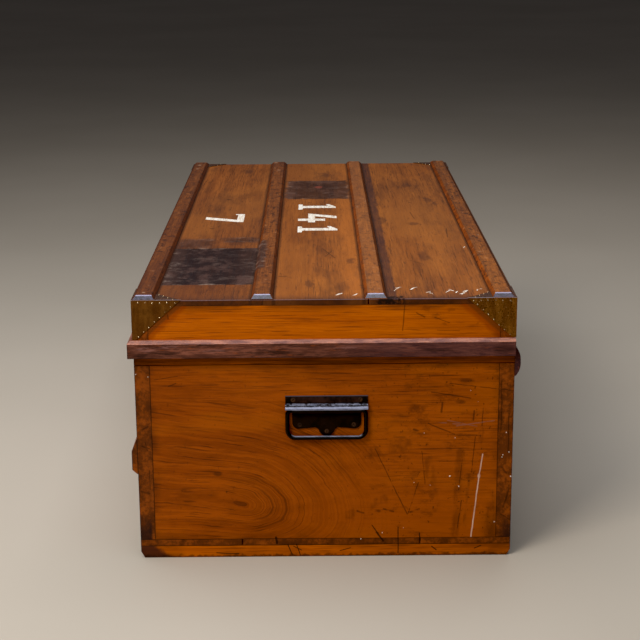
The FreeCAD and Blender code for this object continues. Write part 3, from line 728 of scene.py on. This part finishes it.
# %% Marks on the lid's boards, x before y
STAIN_NEAR = ((238, -224), (473, -96))
STAIN_FAR = ((-356, -63), (-168, 51))
STAINS_FAINT = (((170, -224), (236, -170)), ((158, -152), (196, -98)))
STAIN_BATTEN = ((210, -98), (396, -84))
STRIPE = ((-560, 80), (560, 97))
CHEWED = ((544, 70), (566, 106))
RED_SPOT = (-287, -4, 9, 1.8)
TOP_SCRATCHES = (
    (245, 0, 311, 18, 1), (262, 14, 300, 4, 0.9), (425, -62, 425, -52, 2.2), (-171, -166, -165, -160, 2.6),
    (87, -180, 90, -176, 3), (330, 128, 352, 142, 0.8), (-40, 150, 20, 154, 0.9), (100, 200, 170, 196, 0.8),
    (-300, 120, -250, 124, 0.9))
TOP_SMUDGES = (
    (200, -134, 20, 1.4), (-150, 189, 9, 3.6), (-118, 200, 6, 4), (60, 150, 9, 2), (-420, 10, 12, 3),
    (-300, 160, 10, 2.6), (30, 100, 8, 5), (-470, -140, 12, 3), (330, 40, 9, 3), (480, 60, 12, 3),
    (300, 150, 12, 4), (470, -20, 8, 4))
print(len(TOP_SCRATCHES), "scratches and", len(TOP_SMUDGES), "smudges")

# %% Dirt, stains and wear of the lid
BATTENS = ("lid_batten_1", "lid_batten_2", "lid_batten_3", "lid_batten_4")
SLATE = (21, 16, 19)
HANDLED = (60, 36, 28)


def batten_feet(g):
    """1 in the corner where a batten meets the lid, from any side."""
    feet = []
    for name in BATTENS:
        low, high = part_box(name)
        off = abs(g.y - (low.y + high.y) / 2)
        feet.append(abs(off - (high.y - low.y) / 2).fade(4 * MM, 1 * MM))
    return reduce(or_, feet)


def stain(g, place, corners, soft, amount):
    """A dark box, blotched, paler along both sides, with pale scuffs, most of them in its rim."""
    low, high = corners
    blotches = g.noise((12, 20, 16), 5, 0.7).fade(0.45, 0.6)
    scuffs = g.noise((60, 40, 40), 5, 0.78).fade(0.5, 0.68)
    left = g.y.fade((low[1] + 30) * MM, (low[1] + 2) * MM)
    right = g.y.fade((high[1] - 40) * MM, (high[1] - 6) * MM) * 0.4
    inner = patch(g, place, (low[0] + 5, low[1] + 4), (high[0] - 5, high[1] - 4), 3)
    tone = g.mix(blotches * 0.9, SLATE, (68, 49, 44))
    tone = g.mix((left | right) * 0.3, tone, (84, 60, 50))
    tone = g.mix(scuffs * (left * 0.45 + 0.22), tone, (122, 104, 94))
    tone = g.mix((1.0 - inner) * scuffs * 0.8, tone, (140, 116, 100))
    g.cover(patch(g, place, low, high, soft) * amount, tone)


def top_wear(g, place):
    """Streaks, gold, shaded and lit lanes, wear, pits and smudges, then darker parts of the lid."""
    x, y = g.x, g.y
    level = g.facing["Z"].fade(0.5, 0.8)
    g.clouds((3, 60, 60), 5, 0.65, 0.42, 0.66, 0.3, WORN["dark"])
    g.clouds((2.2, 8, 8), 4, 0.6, 0.44, 0.62, 0.5, (158, 92, 36))
    g.cover(y.fade(0, -0.04) * y.fade(-0.09, -0.07) * 0.35, WORN["mid"])
    g.cover(y.fade(0.016, 0.04) * y.fade(0.07, 0.056) * 0.4, (184, 104, 38))
    g.clouds((3.6, 17, 17), 5, 0.72, 0.49, 0.68, 0.45, (66, 36, 24))
    g.clouds((50, 170, 170), 3, 0.6, 0.64, 0.7, 0.5, (40, 24, 18))
    g.cover(spots(g, place, TOP_SMUDGES) * 0.5, (60, 34, 25))
    near = (x + g.parts(place)[0]).fade(1.05, 1.118) * level
    g.cover(near * 0.5, (64, 38, 30))
    front = y.fade(-0.07, -0.1) * x.fade(-0.35, -0.1) * level
    g.cover(front * 0.2, HANDLED)
    far = x.fade(-0.2, -0.4) * y.fade(-0.08, -0.06) * y.fade(0.07, 0.05)
    back = x.fade(0.3, 0) * x.fade(-0.5, -0.2) * y.fade(0.1, 0.12)
    g.cover((far | back) * 0.15, HANDLED)
    left = y.fade(-0.12, -0.2) * x.fade(0.1, 0.4) * level
    g.cover(left * 0.45, (72, 38, 26))


# The dirt at the battens is also painted shade.
print("dirt at", len(BATTENS), "battens, stains and wear")

# %% The lid's three boards
LID_BOARDS = ("lid_board_1", "lid_board_2", "lid_board_3")


def top_marks(g):
    """Wear, stains, the stripe, scratches, dirt and painted shade at the battens, and the board's ends and
    a painted highlight on the arris.
    """
    place = flat(g, "XY", 12 * MM)
    sharp = flat(g, "XY", 3 * MM, 4)
    top_wear(g, place)
    for corners in STAINS_FAINT:
        stain(g, place, corners, 10, 0.6)
    stain(g, sharp, STAIN_NEAR, 3, 0.9)
    stain(g, place, STAIN_FAR, 5, 0.8)
    g.cover(spot_mark(g, sharp, *RED_SPOT) * 0.8, (122, 58, 42))
    bruised = g.noise((14, 60, 60), 4, 0.7).fade(0.36, 0.6)
    g.cover(patch(g, sharp, *STRIPE, 2) * g.blend(bruised, 0.78, 0.6), (44, 28, 32))
    g.cover(strokes(g, flat(g, "XY", 0.8 * MM, 8), TOP_SCRATCHES) * 0.7, SOOT)
    # Dirt and painted shade in the corners at the battens' feet.
    g.cover(batten_feet(g) * 0.6, DIRT_AND_SHADE)
    g.cover(g.figure["end"] * 0.66, (48, 23, 8))
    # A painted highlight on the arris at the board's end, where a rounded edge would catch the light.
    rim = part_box("lid_board_1")[1]
    arris = abs(g.x).fade(rim.x - 1.6 * MM, rim.x - 0.4 * MM)
    arris = arris * g.z.fade(rim.z - 0.7 * MM, rim.z - 0.3 * MM)
    g.cover(arris * 0.65, (138, 112, 116))
    ragged = g.noise(130, 4, 0.7, g.place).fade(0.42, 0.52)
    g.cover(patch(g, sharp, *CHEWED, 3) * ragged * 0.9, SOOT)


for number, name in enumerate(LID_BOARDS, 41):
    shades = WORN if name == "lid_board_1" else WAXED
    centre = (middle_of(name).y + 25 * MM, 0.27)
    wooden(name, "XYZ", shades, centre, 5 * MM, number, top_marks, coat=0.18)
print(len(LID_BOARDS), "lid boards dressed")

# %% The battens
BATTEN_CHIPS = (
    (-516, -240, 5, 2), (-471, -241, 4, 1.6), (-540, -88, 5, 1.6), (-449, -81, 4, 1.6), (-552, 66, 4, 2),
    (-548, 239, 4, 1.2), (536, -240, 3, 1.4), (300, 232, 2.4, 1), (180, 243, 2.2, 1.4), (-60, 62, 2.4, 2))
BATTEN_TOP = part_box("lid_batten_1")[1].z


def nose(g):
    """1 on a batten's bevelled end, and 0 on its long top and its sides."""
    return abs(g.facing["X"]).fade(0.2, 0.35) * g.facing["Z"].fade(0.3, 0.6)


def batten_marks(g):
    """Clean orange sides, some in painted shade, knocked and speckled tops, dark noses with a painted
    reflection and highlight, and dirt and painted shade at the foot.
    """
    x, y, z = g.x, g.y, g.z
    sides = abs(g.facing["Y"]).fade(0.5, 0.8)
    g.cover(sides * 0.85, wood_colour(g, SIDES))
    # Painted shade: darker on the sides that face +Y, away from the main light, and on both sides of the
    # two front battens.
    shaded = g.facing["Y"].fade(0.5, 0.8) | sides * y.fade(0.02, -0.02)
    g.cover(shaded * 0.45, (64, 30, 11))
    g.clouds((90, 130, 130), 5, 0.75, 0.44, 0.62, 0.4, (56, 30, 22))
    g.clouds((16, 40, 40), 4, 0.7, 0.44, 0.64, 0.35, (70, 38, 26))
    knocks = g.noise((70, 120, 120), 3, 0.6)
    g.cover(knocks.fade(0.58, 0.63) * 0.65, (42, 24, 19))
    g.cover(knocks.fade(0.36, 0.3) * 0.45, (172, 116, 78))
    # Dirt and painted shade low on the sides, where they meet the lid.
    foot = z.fade(BATTEN_TOP - 3.6 * MM, BATTEN_TOP - 5.4 * MM)
    g.cover(foot * sides * 0.85, DIRT_AND_SHADE)
    g.cover(y.fade(-0.2, -0.22) * 0.3, (66, 34, 24))
    second = y.fade(-0.02, -0.04) * x.fade(0.15, 0.45)
    g.cover(second * 0.2, (66, 36, 26))
    third = y.fade(0.02, 0.04) * y.fade(0.13, 0.1) * (1 - sides)
    g.cover(third * 0.2, (190, 118, 68))
    g.cover(spots(g, flat(g, "XY", 2 * MM, 5), BATTEN_CHIPS) * 0.6, (168, 128, 98))
    stain(g, flat(g, "XY", 5 * MM), STAIN_BATTEN, 4, 0.7)
    # Dark noses; their blue-grey tint is a painted reflection of the cool overhead light.
    worn = g.noise(160, 4, 0.7).fade(0.4, 0.62)
    g.cover(nose(g) * 0.94, g.mix(worn, (56, 50, 68), (26, 21, 28)))
    # A painted highlight along the top edge of each nose.
    arris = z.fade(BATTEN_TOP - 1.3 * MM, BATTEN_TOP - 0.5 * MM)
    g.cover(arris * nose(g) * 0.7, (168, 160, 186))


def batten_coat(g):
    """Polished noses, brighter on the two inner battens, waxed tops and dull sides."""
    outer = abs(g.y).fade(0.2, 0.22)
    waxed = g.facing["Z"].fade(0.86, 0.96) * 0.3
    return nose(g) * g.blend(outer, 0.76, 0.34) | waxed


for number, name in enumerate(BATTENS, 44):
    shades = WORN if number < 46 else WAXED
    centre = (middle_of(name).y + 45 * MM, 0.3)
    wooden(name, "XYZ", shades, centre, 4 * MM, number, batten_marks, 0.34, batten_coat)
print("four battens dressed")

# %% [markdown]
# ## The dark hardwood
# The mouldings and the rail at the back are a heavier, redder wood with open pores. The
# moulding's bevel is painted almost pink: a painted highlight where it faces the overhead light.
# Its face is streaked and black in places. The face of each is found by its height, not drawn
# in an image.

# %% Mouldings and rail
FACE_SCUFFS = ((-235, 300, 4, 5), (-205, 303, 3, 6), (-150, 298, 3, 9), (30, 301, 2.5, 9))
FACE_BLACKS = (
    (-215, 296, 4, 7), (-242, 293, 4, 3), (238, 298, 8, 2.4), (-60, 296, 3, 10), (150, 297, 3, 10))
BEVEL_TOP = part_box("moulding_right")[1].z


def hardwood_marks(g):
    """Dull ends, a streaked face with black, warm and grey parts, and a pink painted highlight on the
    bevel.
    """
    dark, deep = HARDWOOD["dark"], HARDWOOD["deep"]
    z = g.z
    g.cover(g.figure["end"], g.mix(g.noise(90, 4).fade(0.4, 0.6), dark, deep))
    g.clouds((50, 430, 430), 4, 0.7, 0.45, 0.55, 0.62, dark)
    g.clouds((30, 160, 160), 5, 0.75, 0.52, 0.64, 0.62, deep)
    g.clouds((40, 300, 300), 4, 0.7, 0.56, 0.68, 0.5, (150, 74, 34))
    g.cover(g.y.fade(-0.02, 0.1) * 0.45, (70, 42, 46))
    place = flat(g, "YZ", 2 * MM)
    g.cover(spots(g, place, FACE_BLACKS) * 0.5, deep)
    grey = g.noise((60, 300, 300), 3, 0.7).fade(0.44, 0.6)
    g.cover(spots(g, place, FACE_SCUFFS) * grey * 0.5, (134, 92, 84))
    # The bevel's pale pink is a painted highlight, uneven in streaks.
    bevel = z.fade(BEVEL_TOP - 4.6 * MM, BEVEL_TOP - 3.8 * MM) * z.fade(0.29, 0.3)
    highlight_streaks = g.noise((30, 200, 200), 4, 0.65).fade(0.36, 0.62)
    g.cover(bevel * 0.9, g.mix(highlight_streaks, (176, 112, 84), (112, 62, 48)))


def bevel_coat(g):
    """Only the upper bevel keeps its polish."""
    return g.facing["Z"].fade(0.3, 0.6) * 0.45


for number, name in enumerate(("moulding_front", "back_rail"), 51):
    wooden(name, "XZY", HARDWOOD, (0.5, 0.0), 3 * MM, number, hardwood_marks, 0.34, bevel_coat)
for number, name in enumerate(("moulding_right", "moulding_left"), 53):
    wooden(name, "YZX", HARDWOOD, (0.5, 0.3), 3 * MM, number, hardwood_marks, 0.34, bevel_coat)
print("mouldings dressed")

# %% [markdown]
# ## Metals
# The brass caps went brown long ago, in streaks that run down from the top. The right one is
# pitted with bright specks. The caps at the right end carry a painted highlight along their top
# edge. The hinges and the lock were out of the light and kept more of their colour. The handles
# are sheet iron and wire under black stoving varnish. It is dull on the flat plate, and worn to
# bright metal on the hood, where every hand rubs. The hood's two pale bands are bare metal and
# painted highlight, and painted highlights line the plate's top edge and the bail's grip.

# %% Brass and steel
def metal(name, colour, worn, roughness, metallic, **constants):
    """A plain metal or paint in clouds of two colours, duller in the second."""
    g = Graph(name)
    clouds = g.noise(90, 4, 0.6).fade(0.35, 0.65)
    g.colour = g.mix(clouds, colour, worn)
    return g.surface(clouds * 0.15 + roughness, g.noise(700, 2), 0.05 * MM, metallic=metallic, **constants)


def cap_brass(name, pitted):
    """Old sheet brass: brown streaks down the sides, dark brown on top, pits where it is poor, and a
    painted highlight on the top edge.
    """
    g = Graph(name)
    up = g.facing["Z"].fade(0.5, 0.8)
    streaks = g.noise((120, 120, 24), 4, 0.6).fade(0.36, 0.64)
    clouds = g.noise(70, 5, 0.7).fade(0.42, 0.62)
    pits = g.noise(520, 3, 0.6)
    g.colour = g.mix(streaks, (118, 76, 34), (98, 60, 28))
    g.cover(clouds * 0.55, (72, 42, 20))
    g.cover(0.6 * pitted, g.mix(streaks, (150, 98, 36), (108, 66, 26)))
    g.cover(pits.fade(0.57, 0.63) * (0.8 * pitted), (36, 24, 12))
    g.cover(pits.fade(0.36, 0.31) * (0.7 * pitted), (176, 142, 88))
    g.cover(up, g.mix(pits.fade(0.4, 0.6), (84, 54, 38), (44, 28, 22)))
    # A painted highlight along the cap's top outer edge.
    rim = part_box("corner_cap_front_right")[1]
    arris = g.x.fade(rim.x - 1.6 * MM, rim.x - 0.6 * MM) * up
    g.cover(arris * 0.8, (182, 172, 178))
    return g.surface(clouds * 0.16 + 0.42, pits * 2 + streaks, 0.08 * MM, 0, g.blend(up, 0.75, 0.15),
                     Specular_IOR_Level=0.2)


steel = metal("steel_dull", (120, 118, 116), (84, 80, 78), 0.36, 1)
finishes = {
    "corner_cap_front": cap_brass("brass_cap_brown", 0.15),
    "corner_cap_back": cap_brass("brass_cap_pitted", 1),
    "hinge": metal("brass_hinge", (176, 132, 62), (140, 100, 46), 0.3, 1),
    "escutcheon": metal("brass_lock", (150, 108, 52), (110, 76, 36), 0.34, 1),
    "lock": steel,
    "link": steel,
}
print("old brass in four states, and dull steel")

# %% Black iron
PLATE_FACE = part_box("handle_plate_right")[0].x
HOOD_CENTRE_Z = 214.1 * MM
FLANGE_START_Z = 222 * MM
BRIGHT_EDGE_Z = 232 * MM


def black_iron():
    """Black varnish. Two bands on the hood are worn to metal and painted pale as highlight, with dark
    flakes between them. A painted highlight lines the top edge.
    """
    g = Graph("iron_black")
    z = g.z
    out = abs(g.x) - PLATE_FACE
    turn = g.math("ARCTAN2", z - HOOD_CENTRE_Z, out)
    loose = turn + g.drift(0.25, (60, 150, 150), 4, 0.7)
    # The two bands lie where the hood faces the lights: bare metal, with a painted highlight in their pale
    # colour.
    low_band = turn.fade(-0.02, 0.06) * loose.fade(0.66, 0.5)
    flaked = g.noise((90, 110, 240), 4, 0.7).fade(0.4, 0.54)
    high_band = loose.fade(0.74, 0.92) * turn.fade(1.38, 1.3) * flaked
    worn = (low_band | high_band * 0.62) * out.fade(2.2 * MM, 3.2 * MM)
    clouds = g.noise(90, 4, 0.6).fade(0.35, 0.65)
    g.colour = g.mix(clouds, (13, 10, 9), (25, 15, 11))
    g.cover(z.fade(FLANGE_START_Z, FLANGE_START_Z + 2 * MM) * clouds * 0.8, (54, 32, 26))
    # A painted highlight along the plate's top edge.
    g.cover(z.fade(BRIGHT_EDGE_Z - 0.6 * MM, BRIGHT_EDGE_Z) * 0.8, (76, 76, 88))
    scratched = g.noise((500, 60, 500), 3, 0.7).fade(0.4, 0.7)
    g.cover(worn, g.mix(scratched, (150, 152, 172), (96, 98, 116)))
    rough = g.blend(worn, clouds * 0.15 + 0.42, 0.3)
    fine = g.noise((500, 120, 500), 3, 0.6)
    return g.surface(rough, fine, 0.12 * MM, worn * 0.5, worn * 0.7, Coat_Roughness=0.15,
                     Specular_IOR_Level=0.12)


def wire_iron():
    """The bails: glossy black wire, bare metal with a painted highlight along the upper side of the grip.
    """
    g = Graph("iron_wire")
    upper_side = g.facing["Z"].fade(0.55, 0.9)
    # Bare metal and a painted highlight on the upper side of the grip.
    grip = g.z.fade(181.5 * MM, 179 * MM) * upper_side
    patchy = g.noise((200, 60, 200), 3, 0.6).fade(0.34, 0.6)
    g.colour = g.mix(grip * g.blend(patchy, 0.4, 0.9), (11, 8, 7), (138, 138, 156))
    return g.surface(0.3, g.noise(400, 2), 0.04 * MM, upper_side * 0.8, grip * 0.5, Coat_Roughness=0.12,
                     Coat_IOR=1.5, Specular_IOR_Level=0.15)


finishes["handle_plate"] = black_iron()
finishes["handle_screws"] = metal("iron_rusty", (80, 52, 34), (36, 22, 16), 0.36, 0.65)
finishes["bail"] = wire_iron()
for name in pieces:
    for start, material in finishes.items():
        if name.startswith(start):
            dress(name, material)
print("metals dressed")

# %% [markdown]
# ## Small domed pins
# Each cap is held by brass pins, driven in a row along its slanting edges and another along the
# lid's edge. One pin is a shallow dome: a circle that shrinks as it rises. It needs few faces,
# because there are over a hundred. All pins of one body are joined in one mesh, since an object
# for each would only slow the scene down.

# %% Domes
def shell(loops):
    """The points of several outlines, one above another, and the walls between them."""
    k = np.arange(len(loops[0]))
    beside = np.roll(k, -1)
    walls = []
    for low in range(0, len(k) * (len(loops) - 1), len(k)):
        high = low + len(k)
        walls += np.stack([k + low, beside + low, beside + high, k + high], axis=-1).tolist()
    return np.vstack(loops), walls


def dome_grid(radius, height, rings=3, sides=9):
    """Points and faces of one dome. Ring t from 0 to 1 has radius cos(t 90) and height sin(t 90)."""
    around = np.arange(sides) * 2 * np.pi / sides
    loops = []
    for turn in np.arange(rings) / rings * np.pi / 2:
        u, v = radius * np.cos(turn) * np.cos(around), radius * np.cos(turn) * np.sin(around)
        loops.append(np.column_stack([u, v, np.full(sides, height * np.sin(turn))]))
    points, walls = shell(loops)
    last = (rings - 1) * sides + np.arange(sides)
    tips = np.stack([last, np.roll(last, -1), np.full(sides, len(points))], axis=-1).tolist()
    return np.vstack([points, (0, 0, height)]), walls + tips + [list(range(sides))[::-1]]


def frame_of(normal):
    """Two directions in the plane and the normal itself, as the rows of a matrix."""
    n = np.array(normal, float)
    n /= np.linalg.norm(n)
    first = np.cross((0.0, 0.0, 1.0), n) if abs(n[2]) < 0.9 else np.array((1.0, 0.0, 0.0))
    first = first / np.linalg.norm(first)
    return np.stack([first, np.cross(n, first), n])


def scatter(name, shapes, body, material):
    """Joins many small shapes, each given as points, faces, a normal and a place, in one piece."""
    points, faces, start = [], [], 0
    for local, local_faces, normal, place in shapes:
        points.append(local @ frame_of(normal) + np.array(place))
        faces += [[start + k for k in face] for face in local_faces]
        start += len(local)
    mesh = bpy.data.meshes.new(name)
    mesh.from_pydata(np.vstack(points).tolist(), [], faces)
    mesh.materials.append(material)
    piece = bpy.data.objects.new(name, mesh)
    bpy.context.scene.collection.objects.link(piece)
    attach(piece, body)
    print(name, len(shapes), "shapes,", len(faces), "faces")


print("a dome has", len(dome_grid(1.0, 0.5)[1]), "faces")

# %% Pins round the caps
PIN_RADIUS = 1.0 * MM
PIN_HEIGHT = 0.6 * MM
PIN_ASTRAY = 0.5
CAP_LOW, CAP_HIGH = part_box("corner_cap_front_right")
CAP_REACH = 65.0 * MM
SLANT_STEEPNESS = 1.06 * 58 / 65
EDGE_INSET = 3.6 * MM
SLANT_INSET = 9.5 * MM
# Both ends of each row, as ways in from the corner, on the roof along X and Y
LEVEL_ENDS = (9 * MM, 58 * MM)
SLANT_ENDS = (CAP_REACH - 13 * MM, 8.5 * MM)
ROOF_START = (4 * MM, CAP_REACH - 10 * MM)
ROOF_END = (CAP_REACH - 34 * MM, 35 * MM)
LEVEL_PINS, SLANT_PINS, ROOF_PINS = 6, 7, 4
chance = np.random.default_rng(7)


def row(start, end, count):
    """Evenly spaced places from start to end, each a little astray, as hand-driven pins are."""
    share = np.linspace(0.0, 1.0, count)[:, None]
    astray = chance.uniform(-PIN_ASTRAY, PIN_ASTRAY, (count, 3)) * MM
    return np.array(start) * (1 - share) + np.array(end) * share + astray[:, :len(start)]


def flap_pins():
    """Pins on one flap, as distance in from the corner and height."""
    edge, slant = CAP_HIGH.z - EDGE_INSET, CAP_HIGH.z - SLANT_INSET
    (near, far), (high, low) = LEVEL_ENDS, SLANT_ENDS
    fall = (high - low) * SLANT_STEEPNESS
    level = row((near, edge), (far, edge), LEVEL_PINS)
    return np.vstack([level, row((high, slant), (low, slant - fall), SLANT_PINS)])


def cap_pins():
    """All pins of the four caps: on the end flaps, the side flaps and the top flaps."""
    dome = dome_grid(PIN_RADIUS, PIN_HEIGHT)
    corner_x, corner_y, roof = CAP_HIGH.x, -CAP_LOW.y, CAP_HIGH.z
    made = []
    for sx in (-1, 1):
        for sy in (-1, 1):
            for inward, height in flap_pins():
                made.append((*dome, (sx, 0, 0), (sx * corner_x, sy * (corner_y - inward), height)))
            for inward, height in flap_pins():
                made.append((*dome, (0, sy, 0), (sx * (corner_x - inward), sy * corner_y, height)))
            start, end = ((sx * (corner_x - in_x), sy * (corner_y - in_y))
                          for in_x, in_y in (ROOF_START, ROOF_END))
            made += [(*dome, (0, 0, 1), (x, y, roof)) for x, y in row(start, end, ROOF_PINS)]
    return made


pin_brass = metal("brass_pins", (216, 196, 160), (140, 104, 66), 0.24, 1)
scatter("cap_pins", cap_pins(), "lid", pin_brass)

# %% [markdown]
# ## Screw slots, nail heads and paint
# The screws in the solid model are plain discs. Each gets a dark slot: a thin lens that lies on
# the head, because a real groove would mean cutting the solid piece. Nail heads are small domes.
# Old wall paint has splashed the lid: every flake is a thin chip with a wavy outline.

# %% Lenses and flakes
def slab(low, high, height):
    """A closed slab: one outline below, another above it at the height, and walls between."""
    k = np.arange(len(low))
    points, walls = shell([np.column_stack([low, k * 0.0]), np.column_stack([high, k * 0.0 + height])])
    return points, walls + [(k + len(k)).tolist(), k[::-1].tolist()]


def chip(half_u, half_v, height, turn=0.0, waviness=0.0, phase=0.0, sides=14):
    """A thin oval whose radius swings by the waviness, three and five times a turn."""
    around = np.arange(sides) * 2 * np.pi / sides
    swing = 1 + waviness * (np.sin(3 * around + phase) + 0.6 * np.sin(5 * around + 2 * phase))
    u, v = half_u * swing * np.cos(around), half_v * swing * np.sin(around)
    u, v = u * np.cos(turn) - v * np.sin(turn), u * np.sin(turn) + v * np.cos(turn)
    outline = np.column_stack([u, v])
    return slab(outline, outline * 0.86, height)


SLOT_HEIGHT = 0.06 * MM
SLOT_HALF_WIDTH = 0.42 * MM
LONG_SLOT = 2.4 * MM
SHORT_SLOT = 2.1 * MM
slot_dark = metal("slot_dirt", (12, 9, 8), (26, 17, 12), 0.7, 0, Specular_IOR_Level=0.1)


def slots(seats, half_length):
    """One slot for each seat: a place in millimetres, the way it faces and the slot's turn."""
    made = []
    for place, normal, turn in seats:
        lens = chip(half_length, SLOT_HALF_WIDTH, SLOT_HEIGHT, turn, sides=10)
        made.append((*lens, normal, tuple(value * MM for value in place)))
    return made


HANDLE_FACE = 560.8
HANDLE_SEATS = ((-42.5, 227, 0.5), (47.5, 227, 1.1), (-34, 191.7, 0.2), (39, 191.7, 2.2), (2.5, 182.6, 1.4))
HINGE_SEATS = [x + shift for x in (-380.1, 0.0, 380.1) for shift in (-19, 19)]
HINGE_Y, LOCK_Y = 243.9, -239.5
RIM_Z, LID_Z = 297.3, 297.6
handle_slots = [((side * HANDLE_FACE, y, z), (side, 0, 0), turn) for side in (1, -1)
                for y, z, turn in HANDLE_SEATS]
low_slots = [((x, HINGE_Y, RIM_Z), (0, 0, 1), 0.3 * x) for x in HINGE_SEATS]
low_slots += [((x, LOCK_Y, RIM_Z), (0, 0, 1), 0.7 + x) for x in (-47.5, 47.5)]
high_slots = [((x, HINGE_Y, LID_Z), (0, 0, -1), 0.2 * x) for x in HINGE_SEATS]
high_slots += [((x, LOCK_Y, LID_Z), (0, 0, -1), 0.4 + x) for x in (-40, 40)]
scatter("handle_screw_slots", slots(handle_slots, LONG_SLOT), "chest", slot_dark)
scatter("rim_screw_slots", slots(low_slots, SHORT_SLOT), "chest", slot_dark)
scatter("lid_screw_slots", slots(high_slots, SHORT_SLOT), "lid", slot_dark)

# %% Nail heads and paint flakes, as places and sizes in millimetres
END_FACE = 559.0
LID_FACE = 365.2
SPECK_THICKNESS = 0.12 * MM
FLAKE_THICKNESS = 0.16 * MM
NAILS = ((-235.7, 260.3), (239.9, 142.8), (249.3, 149.9))
SPECKS = (
    (169.6, 116, 1.1), (143, 103, 0.6), (78, 34, 0.9), (48.6, 25, 0.8), (231.5, 48.7, 0.8), (241, 146, 0.8),
    (252.4, 115, 1), (245, 178, 0.8), (-252, 264, 0.7), (107, 41, 0.6), (182, 101, 0.9), (134, 178, 0.6),
    (176, 171, 0.8), (196, 238, 0.5), (206, 222, 0.5), (121, 107, 0.7))
LID_FLAKES = (
    (531, 20, 9, 2.2, 2.5), (534, 42, 7, 1.6, 2.6), (506, 98, 12, 0.9, 2.75), (497, 101, 6, 0.8, 2.2),
    (503, 120, 9, 1.6, 2.7), (497, 124, 5, 1, 2.2), (523, 140, 6, 1.3, 2.4), (529, 143, 5, 1, 0.5),
    (519, 167, 9, 1.1, 2.6), (514, 172, 6, 1.2, 0.6), (524, 178, 6, 1.3, 2.8), (526, 188, 13, 2, 2.75),
    (519, 190, 8, 2, 2.5), (532, 185, 5, 1.4, 2), (513, 207, 5, 1.2, 2.9), (508, 212, 3, 0.8, 2.2),
    (243, 215, 6, 1.1, 2.8), (545, 74, 4, 1, 2.4), (547, 203, 3, 0.9, 1.9))
old_white = metal("paint_splash", (232, 222, 208), (190, 160, 134), 0.6, 0, Specular_IOR_Level=0.3)
nail_steel = metal("nail_heads", (206, 196, 184), (160, 140, 120), 0.3, 0.6)


def on_end(shape, y, z):
    """A shape set on the right end of the chest."""
    return (*shape, (1, 0, 0), (END_FACE * MM, y * MM, z * MM))


def on_lid(shape, x, y):
    """A shape set on top of the lid's boards."""
    return (*shape, (0, 0, 1), (x * MM, y * MM, LID_FACE * MM))


nail = dome_grid(0.95 * MM, 0.45 * MM)
scatter("nail_heads", [on_end(nail, y, z) for y, z in NAILS], "chest", nail_steel)
specks = [on_end(chip(size * MM, size * 0.8 * MM, SPECK_THICKNESS, size * 9, 0.18, y), y, z)
          for y, z, size in SPECKS]
scatter("paint_specks", specks, "chest", old_white)
flakes = [on_lid(chip(0.85 * u * MM, 0.8 * v * MM, FLAKE_THICKNESS, turn, 0.2, x), x, y)
          for x, y, u, v, turn in LID_FLAKES]
scatter("paint_flakes", flakes, "lid", old_white)

# %% [markdown]
# ## Painted numerals
# Storage chests are numbered with white paint, a brush and a ruler. Each numeral is one closed
# outline, given in shares of its height, so a whole row is drawn by scaling and shifting. A font
# would bring smoother shapes, but hand-painted ones have flat ends and broad stems. They lie a
# tenth of a millimetre proud, as thick paint does.

# %% Outlines of three numerals, each against the clock
ONE = (
    (-0.24, 0), (0.24, 0), (0.24, 0.1), (0.1, 0.12), (0.1, 1), (-0.02, 1), (-0.26, 0.82), (-0.24, 0.74),
    (-0.1, 0.8), (-0.1, 0.12), (-0.24, 0.1))
FOUR = (
    (-0.4, 0.26), (0.06, 0.26), (0.06, 0), (0.25, 0), (0.25, 0.26), (0.38, 0.26), (0.38, 0.44),
    (0.25, 0.44), (0.25, 0.7), (0.06, 0.7), (0.06, 0.44), (-0.16, 0.44), (0.04, 1), (-0.16, 1))
SEVEN = (
    (-0.44, 0.76), (-0.38, 0.76), (-0.33, 0.83), (0.2, 0.82), (-0.12, 0), (0.13, 0), (0.44, 0.88),
    (0.44, 1), (-0.44, 1))
NUMERAL_HEIGHT = 64.0 * MM
PAINT_THICKNESS = 0.12 * MM


def numeral(outline, broad):
    """The outline as a flat closed slab of paint, so many times as broad as it is drawn."""
    points = np.array(outline) * (NUMERAL_HEIGHT * broad, NUMERAL_HEIGHT)
    return slab(points, points, PAINT_THICKNESS)


def worn_white():
    """Brushed white, thin in streaks, with flecks gone down to the brown wood."""
    g = Graph("paint_worn")
    streaks = g.noise((30, 300, 1), 3, 0.6).fade(0.36, 0.7)
    g.colour = g.mix(streaks, (232, 222, 208), (204, 186, 164))
    g.cover(g.noise((130, 130, 1), 4, 0.7).fade(0.6, 0.66), WORN["mid"])
    return g.surface(0.55, streaks, 0.04 * MM, Specular_IOR_Level=0.3)


paint = worn_white()
scatter("numeral_seven", [on_lid(numeral(SEVEN, 1.2), 2, -193)], "lid", paint)
row_of_three = [on_lid(numeral(shape, 1.5), x, -39) for shape, x in ((ONE, -92), (FOUR, 6), (ONE, 100))]
scatter("numeral_row", row_of_three, "lid", paint)
